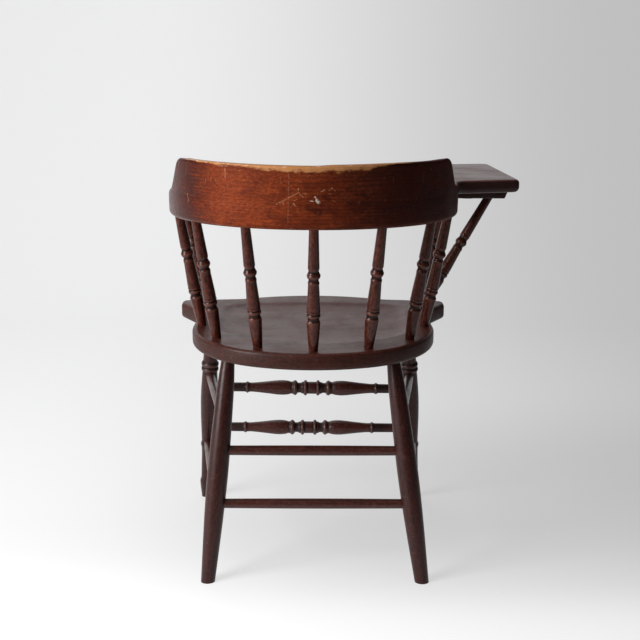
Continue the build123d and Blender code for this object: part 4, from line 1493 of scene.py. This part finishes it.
# %% The paper's finish
PAPER_SHADE, PAPER_LIT = (0.645, 0.64, 0.645, 1), (0.965, 0.966, 0.972, 1)
FAR_DIM, NEAR_DIM = (0.16, 0.16, 0.16, 1), (0.17, 0.17, 0.17, 1)
# The near floor is painted brighter, as light, and the floor round the chair darker, as a painted shadow.
NEAR_LIGHT, MATT, BLACK = (1.13, 1.13, 1.13, 1), (0.84, 0.84, 0.84, 1), (0, 0, 0, 1)
CHAIR_SHADOW, GLOW, GLOW_SHARE = 0.10, 1.39, 0.50


def paper_colors(g):
    """The paper as the camera sees it, and as it lights and reflects in the chair."""
    place = g.node("ShaderNodeTexCoord").outputs["Object"]
    x, y, _ = g.node("ShaderNodeSeparateXYZ", {0: place}).outputs
    lit = g.ramp(g.plus(g.math("MAXIMUM", y, 0.0), 1.1, x), -1.3, 0.9)
    paper = g.mix(lit, PAPER_SHADE, PAPER_LIT)
    # A painted shadow on the floor round the chair, deepest to one side.
    painted_shadow = g.times(g.ramp(y, -1.1, -0.2), g.ramp(y, 0.48, 0.26))
    painted_shadow = g.times(painted_shadow, g.ramp(x, 0.60, -0.15))
    paper = g.mix(g.times(painted_shadow, CHAIR_SHADOW), paper, BLACK)
    # The floor near the camera is painted brighter, as light.
    paper = g.mix(g.ramp(y, 0.10, 0.42), paper, g.mix(1.0, paper, NEAR_LIGHT, "MULTIPLY"))
    dim = g.mix(g.ramp(x, -3.0, -1.15), FAR_DIM, paper)
    return paper, g.mix(g.ramp(y, 0.55, 1.5), dim, NEAR_DIM)


def studio_finish():
    """Pale paper that falls off to one side; part of its paleness is its own."""
    material, g, shader = new_material("studio_paper")
    g.tree.nodes.remove(shader)
    paper, dim = paper_colors(g)
    matt = g.node("ShaderNodeBsdfDiffuse", {"Color": g.mix(1.0, dim, MATT, "MULTIPLY")})
    path = g.node("ShaderNodeLightPath").outputs
    inputs = {"Color": g.mix(path["Is Camera Ray"], dim, paper), "Strength": GLOW}
    glow = g.node("ShaderNodeEmission", inputs)
    seen = g.math("MAXIMUM", path["Is Camera Ray"], path["Is Glossy Ray"])
    seen = g.math("MAXIMUM", seen, path["Is Transmission Ray"])
    inputs = {"Fac": g.times(seen, GLOW_SHARE), 1: matt.outputs[0], 2: glow.outputs[0]}
    both = g.node("ShaderNodeMixShader", inputs).outputs[0]
    below = g.node("ShaderNodeNewGeometry").outputs["Backfacing"]
    inputs = {"Fac": below, 1: both, 2: g.node("ShaderNodeBsdfTransparent").outputs[0]}
    clear = g.node("ShaderNodeMixShader", inputs).outputs[0]
    g.feed(g.tree.nodes["Material Output"].inputs["Surface"], clear)
    return material


studio.data.materials.append(studio_finish())

# %% [markdown]
# ## Light
# A wide soft window stands level with the chair, behind it and to the sitter's left. It makes the
# turned pieces bright on one side and deep on the other. A weak lamp overhead, a weaker one in front
# and a dim room fill the shadows. The room is pale only where the camera sees it directly.

# %% Lamps and world
LAMPS = [  # name, place, target, side and power, in metres and watts
    ("window_left", (2.08, 1.56, 1.12), (0, 0, 0.58), 1.3, 64),
    ("top_fill", (0.6, 0.2, 3.2), (0, 0, 0), 3.0, 20),
    ("front_fill", (0.9, -2.1, 2.5), (0, 0, 0.5), 1.6, 9),
]
ROOM_LIGHT, ROOM_SEEN = 0.06, 0.68

for name, place, target, side, power in LAMPS:
    data = bpy.data.lights.new(name, "AREA")
    data.shape, data.size, data.size_y, data.energy = "RECTANGLE", side, side, power
    lamp = linked(name, data)
    lamp.location = place
    lamp.rotation_euler = (Vector(target) - Vector(place)).to_track_quat("-Z", "Y").to_euler()

scene = bpy.context.scene
world = bpy.data.worlds.new("soft_room")
scene.world = world
world.use_nodes = True
w = Graph(world.node_tree)
seen_directly = w.node("ShaderNodeLightPath").outputs["Is Camera Ray"]
room = world.node_tree.nodes["Background"]
room.inputs["Color"].default_value = (1.0, 1.0, 1.0, 1)
w.feed(room.inputs["Strength"], w.plus(seen_directly, ROOM_SEEN, ROOM_LIGHT))
scene.view_settings.view_transform = "Standard"
print(len(LAMPS), "lamps")

# %% [markdown]
# ## Camera
# The chair is seen from behind, from a standing height, a little to one side of its centre plane.
# The camera's axes are worked out from pitch, yaw and roll and set as a matrix.

# %% The view
CAMERA_PLACE = chair(4.97, 2005.54, 882.07)
PITCH, YAW, ROLL = math.radians(11.462), math.radians(-0.464), math.radians(0.300)
SENSOR, FOCAL, CLIP_NEAR, CLIP_FAR = 36.0, 67.5, 0.05, 50  # millimetres, then metres

forward = Vector((math.sin(YAW), -math.cos(YAW), 0))
right = Vector((-math.cos(YAW), -math.sin(YAW), 0))
up = Vector((0, 0, 1))
view_dir = forward * math.cos(PITCH) - up * math.sin(PITCH)
view_up = up * math.cos(PITCH) + forward * math.sin(PITCH)
view_right = right * math.cos(ROLL) + view_up * math.sin(ROLL)
view_up = view_right.cross(view_dir)

lens = bpy.data.cameras.new("view_camera")
lens.sensor_width, lens.lens = SENSOR, FOCAL
lens.clip_start, lens.clip_end = CLIP_NEAR, CLIP_FAR
camera = linked("view_camera", lens)
turn = Matrix((view_right, view_up, -view_dir)).transposed()
camera.matrix_world = Matrix.Translation(CAMERA_PLACE) @ turn.to_4x4()
scene.camera = camera
